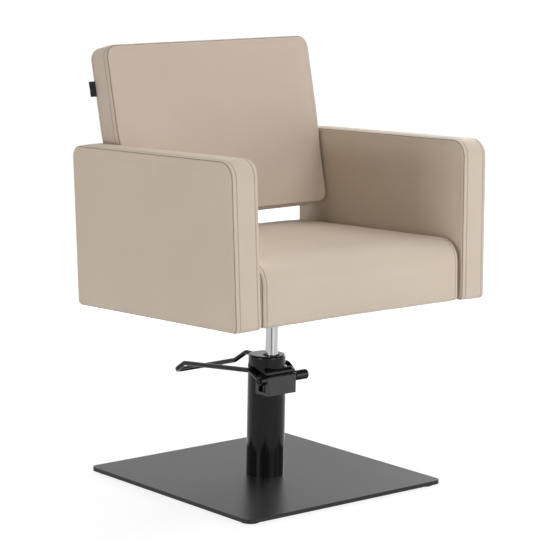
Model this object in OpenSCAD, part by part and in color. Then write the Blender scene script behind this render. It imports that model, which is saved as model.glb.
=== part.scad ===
// Hairdressing chair: a box armchair on a hydraulic column with a square floor plate.
// Millimetres, +Z up, the sitter faces -Y. The origin is on the floor, on the axis that the seat turns about.
// Left and right are the sitter's own, so the left arm is at +X.

/* [Floor plate] */
// Side of the square floor plate
plate_w = 500; // [420:5:600]
// Thickness of the floor plate
plate_t = 8; // [6:0.5:12]
// Corner radius of the floor plate
plate_corner = 14; // [6:1:40]
// Height of the glides under the plate
foot_h = 4; // [3:0.5:10]
// Diameter of a glide
foot_d = 38; // [26:1:50]
// Distance from the plate's edges to a glide's centre
foot_inset = 26; // [24:1:60]

/* [Column] */
// How far the column's centre stands behind the rod
column_back = 13.5; // [12:0.5:17]
// Outside diameter of the column
column_d = 76; // [75:0.5:90]
// Wall of the column tube
column_wall = 3; // [2:0.25:4]
// Height of the column tube above the plate
column_h = 222; // [214:1:260]
// Height of the cap ring above the tube
cap_h = 22; // [20:1:40]
// How much narrower the cap is than the tube
cap_step = 1; // [0.5:0.25:3]
// Radius of the cap's top edge
cap_round = 4; // [1:0.5:6]

/* [Cylinder and rod] */
// Diameter of the chromed rod
rod_d = 25; // [20:0.5:26]
// Bore of the oil cylinder
bore_d = 27; // [26.5:0.25:29]
// Wall of the oil cylinder
bore_wall = 3; // [2:0.25:3.5]
// Length of the piston head
piston_h = 20; // [16:1:30]
// Travel of the seat below the height that is shown
drop = 60; // [20:1:60]
// Travel of the seat above the height that is shown
rise = 90; // [40:1:100]
// Height of the rod's tapered end in the seat socket
taper_h = 36; // [24:1:44]

/* [Pump block] */
// Width of the pump block
block_w = 74; // [66:1:76]
// Height of the pump block with its cover
block_h = 40; // [36:1:50]
// Height of the block's top above the floor
block_top = 222; // [200:1:228]
// How far the block stands out in front of the column
block_out = 11; // [10:0.5:24]
// Thickness of the block's cover
cover_t = 3; // [2:0.5:4]
// Radius of the block's front corners
block_round = 4; // [1:0.5:5]
// Diameter of the pedal's pivot shaft
shaft_d = 9; // [6:0.5:10]
// Distance of the pivot shaft behind the block's front
shaft_back = 12; // [11:0.5:13]
// Distance of the pivot shaft below the block's top
shaft_down = 9.5; // [9.5:0.25:12]
// Length of the crank, from the shaft to its nose
crank_r = 11; // [8:0.5:12]
// Diameter of the pump plunger
plunger_d = 7; // [5:0.5:7.5]

/* [Pedal] */
// Diameter of the bent pedal bar
bar_d = 10; // [7:0.5:12]
// Distance from the middle of the chair to the bar's middle on each side
bar_side = 45; // [44:0.5:60]
// How far the pedal's tip reaches behind the rod
pedal_reach = 253; // [230:1:300]
// Height of the pedal's tip above the floor
pedal_tip_z = 185.5; // [160:0.5:200]
// Radius of the pedal's bends
bend_r = 14; // [8:1:20]
// Angle that the pedal is pressed down
pedal_angle = 20; // [10:1:24]

/* [Seat] */
// Height of the seat's underside above the floor
seat_z = 371; // [350:1:420]
// How far the seat, arms and back are tipped back from level
seat_tilt = 2.4; // [0:0.1:4]
// Overall width over the arms
chair_w = 638; // [580:2:720]
// Thickness of an arm
arm_t = 62; // [50:1:80]
// How far the arms reach in front of the rod
arm_front = 273.5; // [240:0.5:300]
// How far the arms reach behind the rod
arm_back = 217.5; // [205:0.5:240]
// Height of an arm
arm_h = 313.5; // [280:0.5:340]
// Radius of an arm's front top corner
arm_round_front = 32; // [20:1:45]
// Radius of an arm's rear top corner
arm_round_back = 22; // [16:1:40]
// Height of the seat cushion's top edge above its underside
seat_h = 118; // [100:1:150]
// How much higher the middle of the seat is than its sides
seat_crown = 7; // [0:0.5:15]
// Radius of the seat's front top edge
seat_round = 42; // [30:1:60]
// How far the seat's front stands behind the arms' fronts
seat_recess = 4; // [0:1:30]
// How far the seat stops short of the arms' backs
seat_short = 14; // [10:1:40]
// Gap between the seat and each arm
seat_gap = 6; // [3:0.5:10]
// Gap between the back and each arm
side_gap = 3; // [1:0.5:8]

/* [Backrest] */
// Height of the back cushion along its lean
back_h = 347; // [300:1:420]
// Thickness of the back cushion at its edges
back_t = 58; // [48:1:80]
// How far the back leans from square to the seat
back_lean = 11.2; // [8:0.1:18]
// How far the back's lower front edge is behind the rod
back_y = 119; // [100:1:130]
// Height of the back's lower front edge above the seat's underside
back_z = 162; // [140:1:180]
// How much the middle of the back's front stands out
back_crown = 7; // [2:0.5:15]
// Corner radius of the back cushion
back_round = 24; // [12:1:40]

/* [Frames inside the upholstery] */
// Thickness of the timber rails
rail_t = 28; // [18:1:30]
// Width of the timber rails
rail_w = 50; // [45:1:60]
// Foam between an arm's outline and its frame
arm_foam = 16; // [14:1:24]
// Foam between the back's outline and its frame
back_foam = 18; // [14:1:30]
// Height of the seat box
box_h = 64; // [55:1:80]
// Thickness of the seat box's bottom board
board_t = 15; // [12:1:20]
// Thickness of the seat's top board
top_board_t = 12; // [6:1:14]

/* [Seat mount] */
// Side of the square steel seat plate
mount_w = 200; // [160:5:240]
// Thickness of the seat plate
mount_t = 6; // [4:0.5:8]
// Distance between the seat plate's bolts
mount_pitch = 160; // [120:5:180]
// Outside diameter of the seat plate's socket
socket_d = 46; // [38:1:60]
// Length of the socket below the plate
socket_h = 40; // [30:1:44]

/* [Label tag] */
// Height of the bare cloth tag
tag_h = 30; // [10:1:50]
// How far the tag stands out from the seam
tag_out = 16; // [8:1:30]

/* [Hidden] */
$fn = 64;
// Clearances
run = 0.05;             // radial, of a running fit
slack = 0.15;           // radial, of a bolt or a seated part
hair = 0.3;             // between a soft form and what it lies against
cut = 1;                // how far a cut runs past a face

// Floor plate and column
floor_z = foot_h;
plate_top = floor_z + plate_t;
foot_at = plate_w / 2 - foot_inset;
tube_r = column_d / 2;
tube_in = tube_r - column_wall;
tube_top = plate_top + column_h;
cap_r = tube_r - cap_step;
cap_top = tube_top + cap_h;
cap_spigot = 8;
flange_h = 12;
flange_top = plate_top + flange_h;
bolt_pcd_r = tube_in - 9;
base_bolt_d = 8;
foot_screw_d = 5;

// Oil cylinder, rod and piston
barrel_r = bore_d / 2 + bore_wall;
barrel_z = flange_top - 2;
barrel_top = tube_top - 4;
piston_z = barrel_z + 3 + drop;
piston_top = piston_z + piston_h;
washer_t = 1.5;
rod_z = piston_top + washer_t;
spigot_r = rod_d / 2 - 4.5;
spigot_h = piston_h - 6.5;
ring_groove_r = spigot_r - 0.8;
ring_t = 1.2;
ring_z = rod_z - spigot_h + 1.6;
seal_h = 3;
seal_depth = 2;
seal_low = piston_z + 4;
wiper_h = 6;
bush_wall = 3;
bush_top = cap_top - wiper_h;
bush_h = 18;

// Seat mount
seat_bottom = seat_z;
mount_z = seat_bottom - mount_t;
socket_z = mount_z - socket_h;
rod_top = socket_z + taper_h;
taper_r = rod_d / 2 - 1.5;

// Pump block
block_z = block_top - block_h;
block_front = column_back - tube_r - block_out;
block_back = 3;
body_top = block_top - cover_t;
boss_r = barrel_r + 4.5;
shaft_y = block_front + shaft_back;
shaft_z = block_top - shaft_down;
shaft_r = shaft_d / 2;
side_wall = 4;
pocket_x0 = -block_w / 2 + side_wall;
pocket_x1 = pocket_x0 + 13.5;
pocket_y0 = block_front + 5.5;
pocket_y1 = -4;
pocket_z = block_z + 6;
window_y0 = pocket_y0 + 2.5;
window_y1 = pocket_y1 - 2;
window_top = shaft_z - 8.5;
bush_r = shaft_r + 1.5;
bush_flange_r = bush_r + 2;
bush_flange_t = 2;

// Crank and plunger
crank_w = 10;
crank_hub_r = shaft_r + 1.5;
crank_tilt = pedal_angle / 2;
nose_r = 3;
pocket_x = (pocket_x0 + pocket_x1) / 2;
plunger_x = pocket_x;
plunger_y = shaft_y + crank_r;
nose_y = shaft_y + crank_r * cos(crank_tilt);
nose_z = shaft_z + crank_r * sin(crank_tilt);
head_gap = 0.2;
head_t = 3;
head_r = plunger_d / 2 + 1.5;
head_top = nose_z - nose_r - head_gap;
plunger_travel = crank_r * pedal_angle * PI / 180;
sleeve_r = plunger_d / 2 + 2;
sleeve_z = block_z + 2;
sleeve_top = pocket_z + 12;
plunger_z = sleeve_z + 6;
spring_wire = 1;
spring_r = (plunger_d / 2 + head_r) / 2;
spring_turns = 3;
spring_z0 = sleeve_top + spring_wire / 2;
spring_z1 = head_top - head_t - spring_wire / 2;

// Oil pipe from the plunger to the foot of the cylinder
pipe_r = 3;
pipe_bore = 1.75;
pipe_x = -(barrel_r + 5.5);
pipe_y = pocket_y1 + 2.5;
pipe_top = block_z + 2;
pipe_z = flange_top - 4;
duct_r = 1.5;
foot_duct_z = barrel_z - 4;

// Pedal
bar_r = bar_d / 2;
eye_t = bar_d + 1;
eye_r = shaft_r + 4.5;
eye_gap = 0.5;
eye_x = -(block_w / 2 + bush_flange_t + eye_gap);
boss_len = 32;
boss_x = block_w / 2 + bush_flange_t + eye_gap;
clamp_r = shaft_r + 5.5;
shaft_x0 = eye_x - eye_t + 0.5;
shaft_x1 = boss_x + boss_len - 2;
near_top = shaft_z + 15.5;
far_top = shaft_z + 20.5;
bar_start = shaft_r + 2;
function towards(p, q, d) = p + d * unit(q - p);
near_bend = [-bar_side, shaft_y + 35, near_top];
far_bend = [bar_side, shaft_y + 25, far_top];
pedal_path = [
    towards([eye_x - eye_t / 2, shaft_y, shaft_z], near_bend, bar_start),
    near_bend,
    [-bar_side, pedal_reach - 32, pedal_tip_z + 20.5],
    [-bar_side, pedal_reach - 1, pedal_tip_z],
    [bar_side, pedal_reach + 1, pedal_tip_z],
    [bar_side, pedal_reach - 84, pedal_tip_z + 24.5],
    [bar_side, pedal_reach - 120, far_top],
    far_bend,
    towards([bar_side, shaft_y, shaft_z], far_bend, bar_start)
];

// Upholstery
arm_out = chair_w / 2;
arm_in = arm_out - arm_t;
arm_z = seat_bottom - 3;
arm_mid_x = (arm_in + arm_out) / 2;
seat_half = arm_in - seat_gap;
back_half = arm_in - side_gap;
seat_front = -arm_front + seat_recess;
seat_back = arm_back - seat_short;
frame_half = seat_half - 13;
frame_front = seat_front + 20;
frame_back = seat_back - 12;
box_top = seat_bottom + box_h;
board_top = box_top + top_board_t;
box_wall = 20;
arm_frame_x0 = arm_mid_x - rail_t / 2;
arm_frame_x1 = arm_mid_x + rail_t / 2;
arm_rail_z = arm_z + arm_foam + rail_w / 2;
frame_bolt_d = 8;
spacer_r = 8;
bolt_head_r = 9;
bolt_head_t = 5;
// Distances from a fixing to the end or the edge of its rail
edge_keep = 30;
bolt_keep = bolt_head_r + 15;
arm_bolt_ys = [frame_front + 2 * edge_keep, (frame_front + frame_back) / 2, frame_back - edge_keep];
back_origin = [0, back_y, seat_bottom + back_z];
back_frame_half = back_half - 19;
back_rail_t = rail_t;
back_frame_v0 = (back_t - back_rail_t) / 2;
// The lower bolt keeps off the back's lower edge, the upper one off the arm frame's top
back_bolt_us = [back_foam + bolt_keep,
    (arm_z + arm_h - arm_foam - bolt_keep - back_origin[2] + back_t / 2 * sin(back_lean)) / cos(back_lean)];
function back_bolt_at(u) =
    let (v = back_t / 2)
    [0, back_origin[1] + u * sin(back_lean) + v * cos(back_lean), back_origin[2] + u * cos(back_lean) - v * sin(back_lean)];
// The arm's rear rail is wide enough to hold the heads of the back's bolts
arm_rear_rail = max(rail_w, arm_back - arm_foam - back_bolt_at(back_bolt_us[0])[1] + bolt_head_r + 6);
back_bow = 1;
tag_t = 1.2;
tag_u = back_h * 0.72;

// General helpers

function unit(v) = v / norm(v);
function mix(a, b, t) = a + (b - a) * t;
function flat(list) = [for (part = list) each part];

// Ring with a square section, standing on z
module ring(outer, inner, z, h) {
    translate([0, 0, z])
        difference() {
            cylinder(r = outer, h = h);
            translate([0, 0, -cut]) cylinder(r = inner, h = h + 2 * cut);
        }
}

// Cylinder lying along X from x0 to x1
module shaft_x(r, x0, x1) {
    translate([x0, 0, 0]) rotate([0, 90, 0]) cylinder(r = r, h = x1 - x0);
}

// Moves its children to the pivot shaft's axis
module at_shaft() {
    translate([0, shaft_y, shaft_z]) children();
}

// Rectangle from its lower left corner with all four corners round
module round_rect(w, d, r) {
    translate([r, 0]) square([w - 2 * r, d]);
    translate([0, r]) square([w, d - 2 * r]);
    for (x = [r, w - r], y = [r, d - r]) translate([x, y]) circle(r);
}

// Box between two corners
module box(low, high) {
    translate(low) cube(high - low);
}

// Rectangular timber frame in the local XY plane, with a window inside its rails.
// The rail at the high x end is wide_w wide, the other three w.
module rail_frame(low, high, t, w, wide_w) {
    difference() {
        box([low[0], low[1], 0], [high[0], high[1], t]);
        box([low[0] + w, low[1] + w, -cut], [high[0] - wide_w, high[1] - w, t + cut]);
    }
}

// Tips its children back with the seat, about the middle of its underside. They are drawn level.
module tipped() {
    translate([0, 0, seat_bottom]) rotate([-seat_tilt, 0, 0]) translate([0, 0, -seat_bottom]) children();
}

// Local x, y and z become Y, Z and X
module stand_sideways() {
    rotate([90, 0, 90]) children();
}

// The back's own axes: x across, y up along the lean, z to the rear
module lean_back() {
    translate(back_origin) rotate([-back_lean, 0, 0])
        multmatrix([[1, 0, 0, 0], [0, 0, 1, 0], [0, 1, 0, 0], [0, 0, 0, 1]]) children();
}

// Soft forms: closed skins of rings that run round an outline, from one panel over the edge to the other

arc_steps = 5;
side_steps = 6;

// Outline of a box of half sizes a and b, with its four corner radii and each side bowed out by bow.
// Corners run anticlockwise from the lower right one.
function corner(c, r, start) = [for (i = [0:arc_steps])
    [c[0] + r * cos(start + 90 * i / arc_steps), c[1] + r * sin(start + 90 * i / arc_steps)]];
function side(p, q, n, bow) = [for (i = [1:side_steps - 1])
    let (t = i / side_steps) mix(p, q, t) + n * bow * 4 * t * (1 - t)];
function outline(a, b, radii, inset, bow) =
    let (
        u = a - inset, v = b - inset,
        r = [for (x = radii) max(x - inset, 1)],
        c0 = corner([u - r[0], -v + r[0]], r[0], -90),
        c1 = corner([u - r[1], v - r[1]], r[1], 0),
        c2 = corner([-u + r[2], v - r[2]], r[2], 90),
        c3 = corner([-u + r[3], -v + r[3]], r[3], 180)
    )
    concat(c0, side([u, -v + r[0]], [u, v - r[1]], [1, 0], bow),
        c1, side([u - r[1], v], [-u + r[2], v], [0, 1], bow),
        c2, side([-u, v - r[2]], [-u, -v + r[3]], [-1, 0], bow),
        c3, side([-u + r[3], -v], [u - r[0], -v], [0, -1], bow));

// Each ring is [height along the thickness, inset, scale]. A panel's height falls off from its middle.
function panel_rings(half, edge, crown, count, up) = [for (i = [1:count])
    let (s = i / (count + 1)) [up * (half + crown * (1 - pow(s, 3))), edge, s]];
function edge_rings(half, edge, count, up) = [for (i = [0:count])
    let (f = 90 * i / count) [up * (half - edge * (1 - cos(f))), edge * (1 - sin(f)), 1]];
function band_rings(low, high, bulge, count) = [for (i = [1:count - 1])
    let (t = i / count) [mix(high, low, t), -bulge * 4 * t * (1 - t), 1]];
function backwards(list) = [for (i = [len(list) - 1:-1:0]) list[i]];

// A padded form of half thickness half along local z. crowns are those of the upper and lower panels,
// bulge is that of the band between them, lift raises the side that faces +y along the middle of the band.
module padded(a, b, radii, half, edge, crowns, bulge, bow, lift = 0, panels = 4, bands = 4) {
    rings = concat(
        panel_rings(half, edge, crowns[0], panels, 1), edge_rings(half, edge, 3, 1),
        band_rings(-half + edge, half - edge, bulge, bands),
        backwards(edge_rings(half, edge, 3, -1)), backwards(panel_rings(half, edge, crowns[1], panels, -1)));
    loops = [for (ring = rings)
        [for (p = outline(a, b, radii, ring[1], bow))
            [p[0] * ring[2],
                p[1] * ring[2] + lift * (1 - pow(ring[0] / half, 2)) * max(0, p[1] / b) * ring[2],
                ring[0]]]];
    n = len(loops[0]);
    last = len(loops) - 1;
    points = concat(flat(loops), [[0, 0, half + crowns[0]], [0, 0, -half - crowns[1]]]);
    top = len(points) - 2;
    faces = concat(
        [for (i = [0:n - 1]) [top, (i + 1) % n, i]],
        [for (k = [0:last - 1], i = [0:n - 1], flip = [0, 1])
            let (j = (i + 1) % n, p = k * n, q = (k + 1) * n)
            flip == 0 ? [p + i, p + j, q + i] : [p + j, q + j, q + i]],
        [for (i = [0:n - 1]) [top + 1, last * n + i, last * n + (i + 1) % n]]);
    polyhedron(points, faces);
}

// Round bars: rings set along a path whose corners are arcs

bar_sides = 16;
bend_steps = 5;

function arc_point(p, d1, d2, r, i) =
    let (
        turn = acos(d1 * d2),
        m = unit(d2 - (d2 * d1) * d1),
        c = p - d1 * r * tan(turn / 2) + m * r,
        f = turn * i / bend_steps
    )
    [c - m * r * cos(f) + d1 * r * sin(f), d1 * cos(f) + m * sin(f)];
function bar_stations(path, r) =
    let (
        last = len(path) - 1,
        dirs = [for (i = [0:last - 1]) unit(path[i + 1] - path[i])]
    )
    concat([[path[0], dirs[0]]],
        [for (i = [1:last - 1], k = [0:bend_steps]) arc_point(path[i], dirs[i - 1], dirs[i], r, k)],
        [[path[last], dirs[last - 1]]]);
function bar_ring(station, r, sides) =
    let (d = station[1], s = unit(cross(d, [0, 0, 1])), t = cross(s, d))
    [for (i = [0:sides - 1]) station[0] + r * (s * cos(360 * i / sides) + t * sin(360 * i / sides))];

// Closed tube through stations, each a place and a direction
module tube_through(stations, r, sides) {
    last = len(stations) - 1;
    points = concat(flat([for (s = stations) bar_ring(s, r, sides)]), [stations[0][0], stations[last][0]]);
    ends = [len(points) - 2, len(points) - 1];
    caps = concat([for (i = [0:sides - 1]) [ends[0], (i + 1) % sides, i]],
        [for (i = [0:sides - 1]) [ends[1], last * sides + i, last * sides + (i + 1) % sides]]);
    walls = [for (k = [0:last - 1], i = [0:sides - 1], flip = [0, 1])
        let (j = (i + 1) % sides, p = k * sides, q = (k + 1) * sides)
        flip == 0 ? [p + i, p + j, q + i] : [p + j, q + j, q + i]];
    polyhedron(points, concat(caps, walls));
}

// Floor plate

module at_feet() {
    for (x = [-foot_at, foot_at], y = [-foot_at, foot_at]) translate([x, column_back + y, 0]) children();
}

module at_base_bolts() {
    for (a = [0:90:270]) translate([0, column_back, 0]) rotate(a) translate([bolt_pcd_r, 0, 0]) children();
}

module base_plate() {
    color([0.19, 0.19, 0.19])
        difference() {
            translate([-plate_w / 2, column_back - plate_w / 2, floor_z])
                linear_extrude(plate_t) round_rect(plate_w, plate_w, plate_corner);
            at_base_bolts() base_bolt_space(slack);
            at_feet() translate([0, 0, floor_z - cut]) cylinder(d = foot_screw_d + 2 * slack, h = plate_t - 1.5 + cut);
        }
}

// Space of a countersunk bolt, whose head is flush with the plate's underside
module base_bolt_space(gap) {
    translate([0, 0, floor_z - gap]) cylinder(r1 = base_bolt_d + gap, r2 = base_bolt_d / 2 + gap, h = base_bolt_d / 2 + gap);
    translate([0, 0, floor_z]) cylinder(d = base_bolt_d + 2 * gap, h = plate_t + cut);
}

module base_feet() {
    color([0.1, 0.1, 0.1])
        at_feet()
            difference() {
                rotate_extrude()
                    difference() {
                        square([foot_d / 2, foot_h]);
                        translate([foot_d / 2 - 1.5, 0]) difference() {
                            translate([0.5, -cut]) square([2, 1 + cut]);
                            translate([0.5, 1]) circle(1, $fn = 32);
                        }
                    }
                translate([0, 0, -cut]) cylinder(d = foot_screw_d + 2 * slack, h = foot_h + 2 * cut);
                translate([0, 0, -cut]) cylinder(d = foot_screw_d * 2, h = cut + 0.8);
                translate([0, 0, 0.8]) cylinder(r1 = foot_screw_d, r2 = foot_screw_d / 2 + slack, h = foot_h * 0.6);
            }
}

module foot_screws() {
    color([0.6, 0.6, 0.6])
        at_feet() {
            translate([0, 0, 1])
                cylinder(r1 = foot_screw_d - 0.4, r2 = foot_screw_d / 2, h = foot_h * 0.6 - 0.2);
            translate([0, 0, foot_h * 0.6]) cylinder(d = foot_screw_d, h = foot_h * 0.4 + plate_t - 2);
        }
}

module base_bolts() {
    color([0.5, 0.5, 0.5])
        at_base_bolts()
            difference() {
                union() {
                    translate([0, 0, floor_z]) cylinder(r1 = base_bolt_d, r2 = base_bolt_d / 2, h = base_bolt_d / 2);
                    translate([0, 0, floor_z]) cylinder(d = base_bolt_d, h = plate_t + flange_h - 4);
                }
                translate([0, 0, floor_z - cut]) cylinder(d = 5.8, h = 3 + cut, $fn = 6);
            }
}

// Column

module column_flange() {
    color([0.35, 0.35, 0.35])
        difference() {
            translate([0, column_back, plate_top]) cylinder(r = tube_in - slack, h = flange_h);
            at_base_bolts() translate([0, 0, plate_top - cut])
                cylinder(d = base_bolt_d + 2 * slack, h = flange_h - 3 + cut);
            translate([0, 0, barrel_z]) cylinder(r = barrel_r + slack, h = flange_h);
            translate([0, 0, foot_duct_z - duct_r - 0.6]) cylinder(r = 3, h = flange_h);
            translate([pipe_x, pipe_y, foot_duct_z - duct_r - 0.6]) cylinder(r = pipe_r + slack, h = flange_h);
            along_foot_duct() cylinder(r = duct_r, h = norm([pipe_x, pipe_y]));
        }
}

// Turns local z along the duct from the oil pipe to the cylinder's foot
module along_foot_duct() {
    translate([pipe_x, pipe_y, foot_duct_z]) rotate(atan2(-pipe_y, -pipe_x)) rotate([0, 90, 0]) children();
}

module column_tube() {
    color([0.09, 0.09, 0.09])
        difference() {
            translate([0, column_back, 0]) ring(tube_r, tube_in, plate_top, column_h);
            box([-column_d, -column_d, block_z - slack], [column_d, block_back + slack, block_top + slack]);
        }
}

module column_cap() {
    color([0.11, 0.11, 0.11])
        difference() {
            translate([0, column_back, 0]) {
                translate([0, 0, tube_top])
                    rotate_extrude() {
                        square([cap_r, cap_h - cap_round]);
                        square([cap_r - cap_round, cap_h]);
                        translate([cap_r - cap_round, cap_h - cap_round]) circle(cap_round);
                    }
                translate([0, 0, tube_top - cap_spigot]) cylinder(r = tube_in - slack, h = cap_spigot + cut);
            }
            translate([0, 0, tube_top - cap_spigot - cut]) cylinder(r = barrel_r + slack, h = barrel_top - tube_top + cap_spigot + cut + slack);
            translate([0, 0, tube_top - cap_spigot]) cylinder(r = rod_d / 2 + bush_wall + slack, h = cap_h + cap_spigot + cut);
            translate([0, 0, bush_top]) cylinder(r = rod_d / 2 + bush_wall + 1.5, h = wiper_h + cut);
        }
}

module rod_guide_bush() {
    color([0.72, 0.55, 0.3])
        ring(rod_d / 2 + bush_wall, rod_d / 2 + run, bush_top - bush_h, bush_h);
}

module rod_wiper() {
    color([0.06, 0.06, 0.06])
        difference() {
            rotate_extrude() {
                translate([0, bush_top]) square([rod_d / 2 + bush_wall + 1.5 - slack, wiper_h]);
                translate([0, cap_top]) square([rod_d / 2 + 3, 1]);
            }
            translate([0, 0, bush_top - cut]) cylinder(r = rod_d / 2 + run, h = wiper_h + 3 * cut);
        }
}

module oil_cylinder() {
    color([0.55, 0.55, 0.55])
        difference() {
            ring(barrel_r, bore_d / 2, barrel_z, barrel_top - barrel_z);
            // inlet notch at the foot, above the flange's duct
            translate([0, 0, barrel_z - cut]) cylinder(r = bore_d / 2 + 0.5, h = cut + 1.5);
        }
}

module oil_pipe() {
    color([0.6, 0.6, 0.6])
        translate([pipe_x, pipe_y, 0]) ring(pipe_r, pipe_bore, pipe_z, pipe_top - pipe_z);
}

// Pump block

module block_outline() {
    w = block_w / 2;
    translate([-w + block_round, block_front]) square([block_w - 2 * block_round, block_back - block_front]);
    translate([-w, block_front + block_round]) square([block_w, block_back - block_front - block_round]);
    for (x = [-w + block_round, w - block_round]) translate([x, block_front + block_round]) circle(block_round);
}

module pump_block() {
    color([0.13, 0.13, 0.13])
        difference() {
            translate([0, 0, block_z]) linear_extrude(body_top - block_z) {
                block_outline();
                circle(boss_r);
            }
            translate([0, 0, block_z - cut]) cylinder(r = barrel_r + slack, h = block_h + 2 * cut);
            box([pocket_x0, pocket_y0, pocket_z], [pocket_x1, pocket_y1, block_top]);
            box([-block_w, window_y0, pocket_z], [pocket_x0 + cut, window_y1, window_top]);
            at_shaft() {
                shaft_x(bush_r + run, -block_w / 2 - cut, pocket_x0 + cut);
                shaft_x(shaft_r + 0.4, pocket_x1 - cut, block_w / 2);
                shaft_x(bush_r + run, block_w / 2 - 10, block_w / 2 + cut);
            }
            translate([plunger_x, plunger_y, sleeve_z]) cylinder(r = sleeve_r + run, h = pocket_z - sleeve_z + cut);
            translate([pipe_x, pipe_y, block_z - cut]) cylinder(r = pipe_r + slack, h = pocket_z - block_z);
            along_block_duct() cylinder(r = duct_r, h = norm([pipe_x - plunger_x, pipe_y - plunger_y]));
            for (x = cover_screw_xs) translate([x, cover_screw_y, body_top - 8]) cylinder(r = 1.5 + run, h = 8 + cut);
        }
}

cover_screw_xs = [-block_w / 2 + 9, block_w / 2 - 9];
cover_screw_y = block_front + 3;

// Turns local z along the duct from the plunger's sleeve to the oil pipe
module along_block_duct() {
    translate([plunger_x, plunger_y, sleeve_z + duct_r + 0.25])
        rotate(atan2(pipe_y - plunger_y, pipe_x - plunger_x)) rotate([0, 90, 0]) children();
}

module block_cover() {
    color([0.1, 0.1, 0.1])
        difference() {
            intersection() {
                translate([0, 0, body_top]) linear_extrude(cover_t) block_outline();
                // front edge rounded down over the block
                stand_sideways() linear_extrude(block_w + 2 * cut, center = true) {
                    translate([block_front + cover_t, body_top]) square([block_back - block_front, cover_t]);
                    translate([block_front + cover_t, body_top]) circle(cover_t);
                }
            }
            translate([0, 0, body_top - cut]) cylinder(r = barrel_r + slack, h = cover_t + 2 * cut);
            for (x = cover_screw_xs) translate([x, cover_screw_y, body_top - cut]) cylinder(r = 1.5 + slack, h = cover_t + 2 * cut);
            for (x = cover_screw_xs) translate([x, cover_screw_y, body_top + 1]) cylinder(r1 = 1.5 + slack, r2 = 1.5 + cover_t, h = cover_t);
        }
}

module cover_screws() {
    color([0.2, 0.2, 0.2])
        for (x = cover_screw_xs) translate([x, cover_screw_y, 0])
            difference() {
                union() {
                    translate([0, 0, body_top - 6]) cylinder(r = 1.5, h = 6 + cover_t - 0.8);
                    translate([0, 0, body_top + 1.2]) cylinder(r1 = 1.5, r2 = 2.5, h = 1);
                }
                translate([0, 0, body_top + 1.5]) cylinder(d = 2, h = 3, $fn = 6);
            }
}

module shaft_bushes() {
    color([0.72, 0.55, 0.3])
        at_shaft()
            for (end = [-1, 1]) {
                face = end * block_w / 2;
                depth = end < 0 ? side_wall : 10;
                difference() {
                    union() {
                        shaft_x(bush_r, min(face, face - end * depth), max(face, face - end * depth));
                        shaft_x(bush_flange_r, min(face, face + end * bush_flange_t), max(face, face + end * bush_flange_t));
                    }
                    shaft_x(shaft_r + run, -block_w, block_w);
                }
            }
}

// Plunger, its sleeve and spring

module plunger_sleeve() {
    color([0.5, 0.5, 0.5])
        difference() {
            translate([plunger_x, plunger_y, 0]) ring(sleeve_r, plunger_d / 2 + run, sleeve_z, sleeve_top - sleeve_z);
            along_block_duct() cylinder(r = duct_r, h = sleeve_r + 2);
        }
}

module pump_plunger() {
    color([0.65, 0.65, 0.65])
        translate([plunger_x, plunger_y, 0]) {
            translate([0, 0, plunger_z]) cylinder(d = plunger_d, h = head_top - plunger_z - head_t / 2);
            translate([0, 0, head_top - head_t]) cylinder(r = head_r, h = head_t - 0.8);
            translate([0, 0, head_top - 0.8]) cylinder(r1 = head_r, r2 = head_r - 0.8, h = 0.8);
        }
}

spring_rings = 8;
function spring_station(i) =
    let (
        n = spring_turns * spring_rings, a = 360 * i / spring_rings,
        rise_per = (spring_z1 - spring_z0) / (2 * PI * spring_r * spring_turns)
    )
    [[plunger_x + spring_r * cos(a), plunger_y + spring_r * sin(a), mix(spring_z0, spring_z1, i / n)],
        unit([-sin(a), cos(a), rise_per])];
spring_path = [for (i = [0:spring_turns * spring_rings]) spring_station(i)];
// Points a turn or so apart are the only ones that come near each other
spring_gap = min([for (i = [0:len(spring_path) - 1], j = [i + spring_rings - 2:1:len(spring_path) - 1])
    norm(spring_path[i][0] - spring_path[j][0])]) - spring_wire;
echo(least_gap_of_the_spring_to_itself = spring_gap);

module plunger_spring() {
    color([0.6, 0.6, 0.6]) tube_through(spring_path, spring_wire / 2, 6);
}

// Piston and rod

module piston_head() {
    color([0.45, 0.45, 0.45])
        difference() {
            translate([0, 0, piston_z]) cylinder(r = bore_d / 2 - run, h = piston_h);
            for (z = [seal_low, seal_low + 2 * seal_h])
                ring(bore_d / 2 + cut, bore_d / 2 - seal_depth, z, seal_h);
            translate([0, 0, rod_z - spigot_h - 0.5]) cylinder(r = spigot_r + run, h = spigot_h + cut);
            translate([0, 0, ring_z - slack]) cylinder(r = spigot_r + 1.2, h = ring_t + 2 * slack);
        }
}

module piston_seals() {
    color([0.12, 0.12, 0.12])
        for (z = [seal_low, seal_low + 2 * seal_h])
            ring(bore_d / 2 - 0.02, bore_d / 2 - seal_depth + slack, z + 0.1, seal_h - 0.2);
}

module rod_snap_ring() {
    color([0.4, 0.4, 0.4])
        difference() {
            ring(spigot_r + 1.1, ring_groove_r + slack, ring_z, ring_t);
            box([-1, 0, ring_z - cut], [1, spigot_r + 2, ring_z + ring_t + cut]);
        }
}

module thrust_washer() {
    color([0.62, 0.62, 0.62])
        ring(rod_d / 2 - 0.5, spigot_r + slack, piston_top, washer_t);
}

module piston_rod() {
    color([0.78, 0.79, 0.8])
        difference() {
            union() {
                translate([0, 0, rod_z]) cylinder(d = rod_d, h = socket_z - rod_z);
                translate([0, 0, socket_z]) cylinder(r1 = rod_d / 2, r2 = taper_r, h = taper_h);
                translate([0, 0, rod_z - spigot_h]) cylinder(r = spigot_r, h = spigot_h);
            }
            ring(spigot_r + cut, ring_groove_r, ring_z - slack, ring_t + 2 * slack);
        }
}

// Seat mount

module at_mount_bolts() {
    for (x = [-1, 1], y = [-1, 1]) translate([x * mount_pitch / 2, y * mount_pitch / 2, 0]) children();
}

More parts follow.
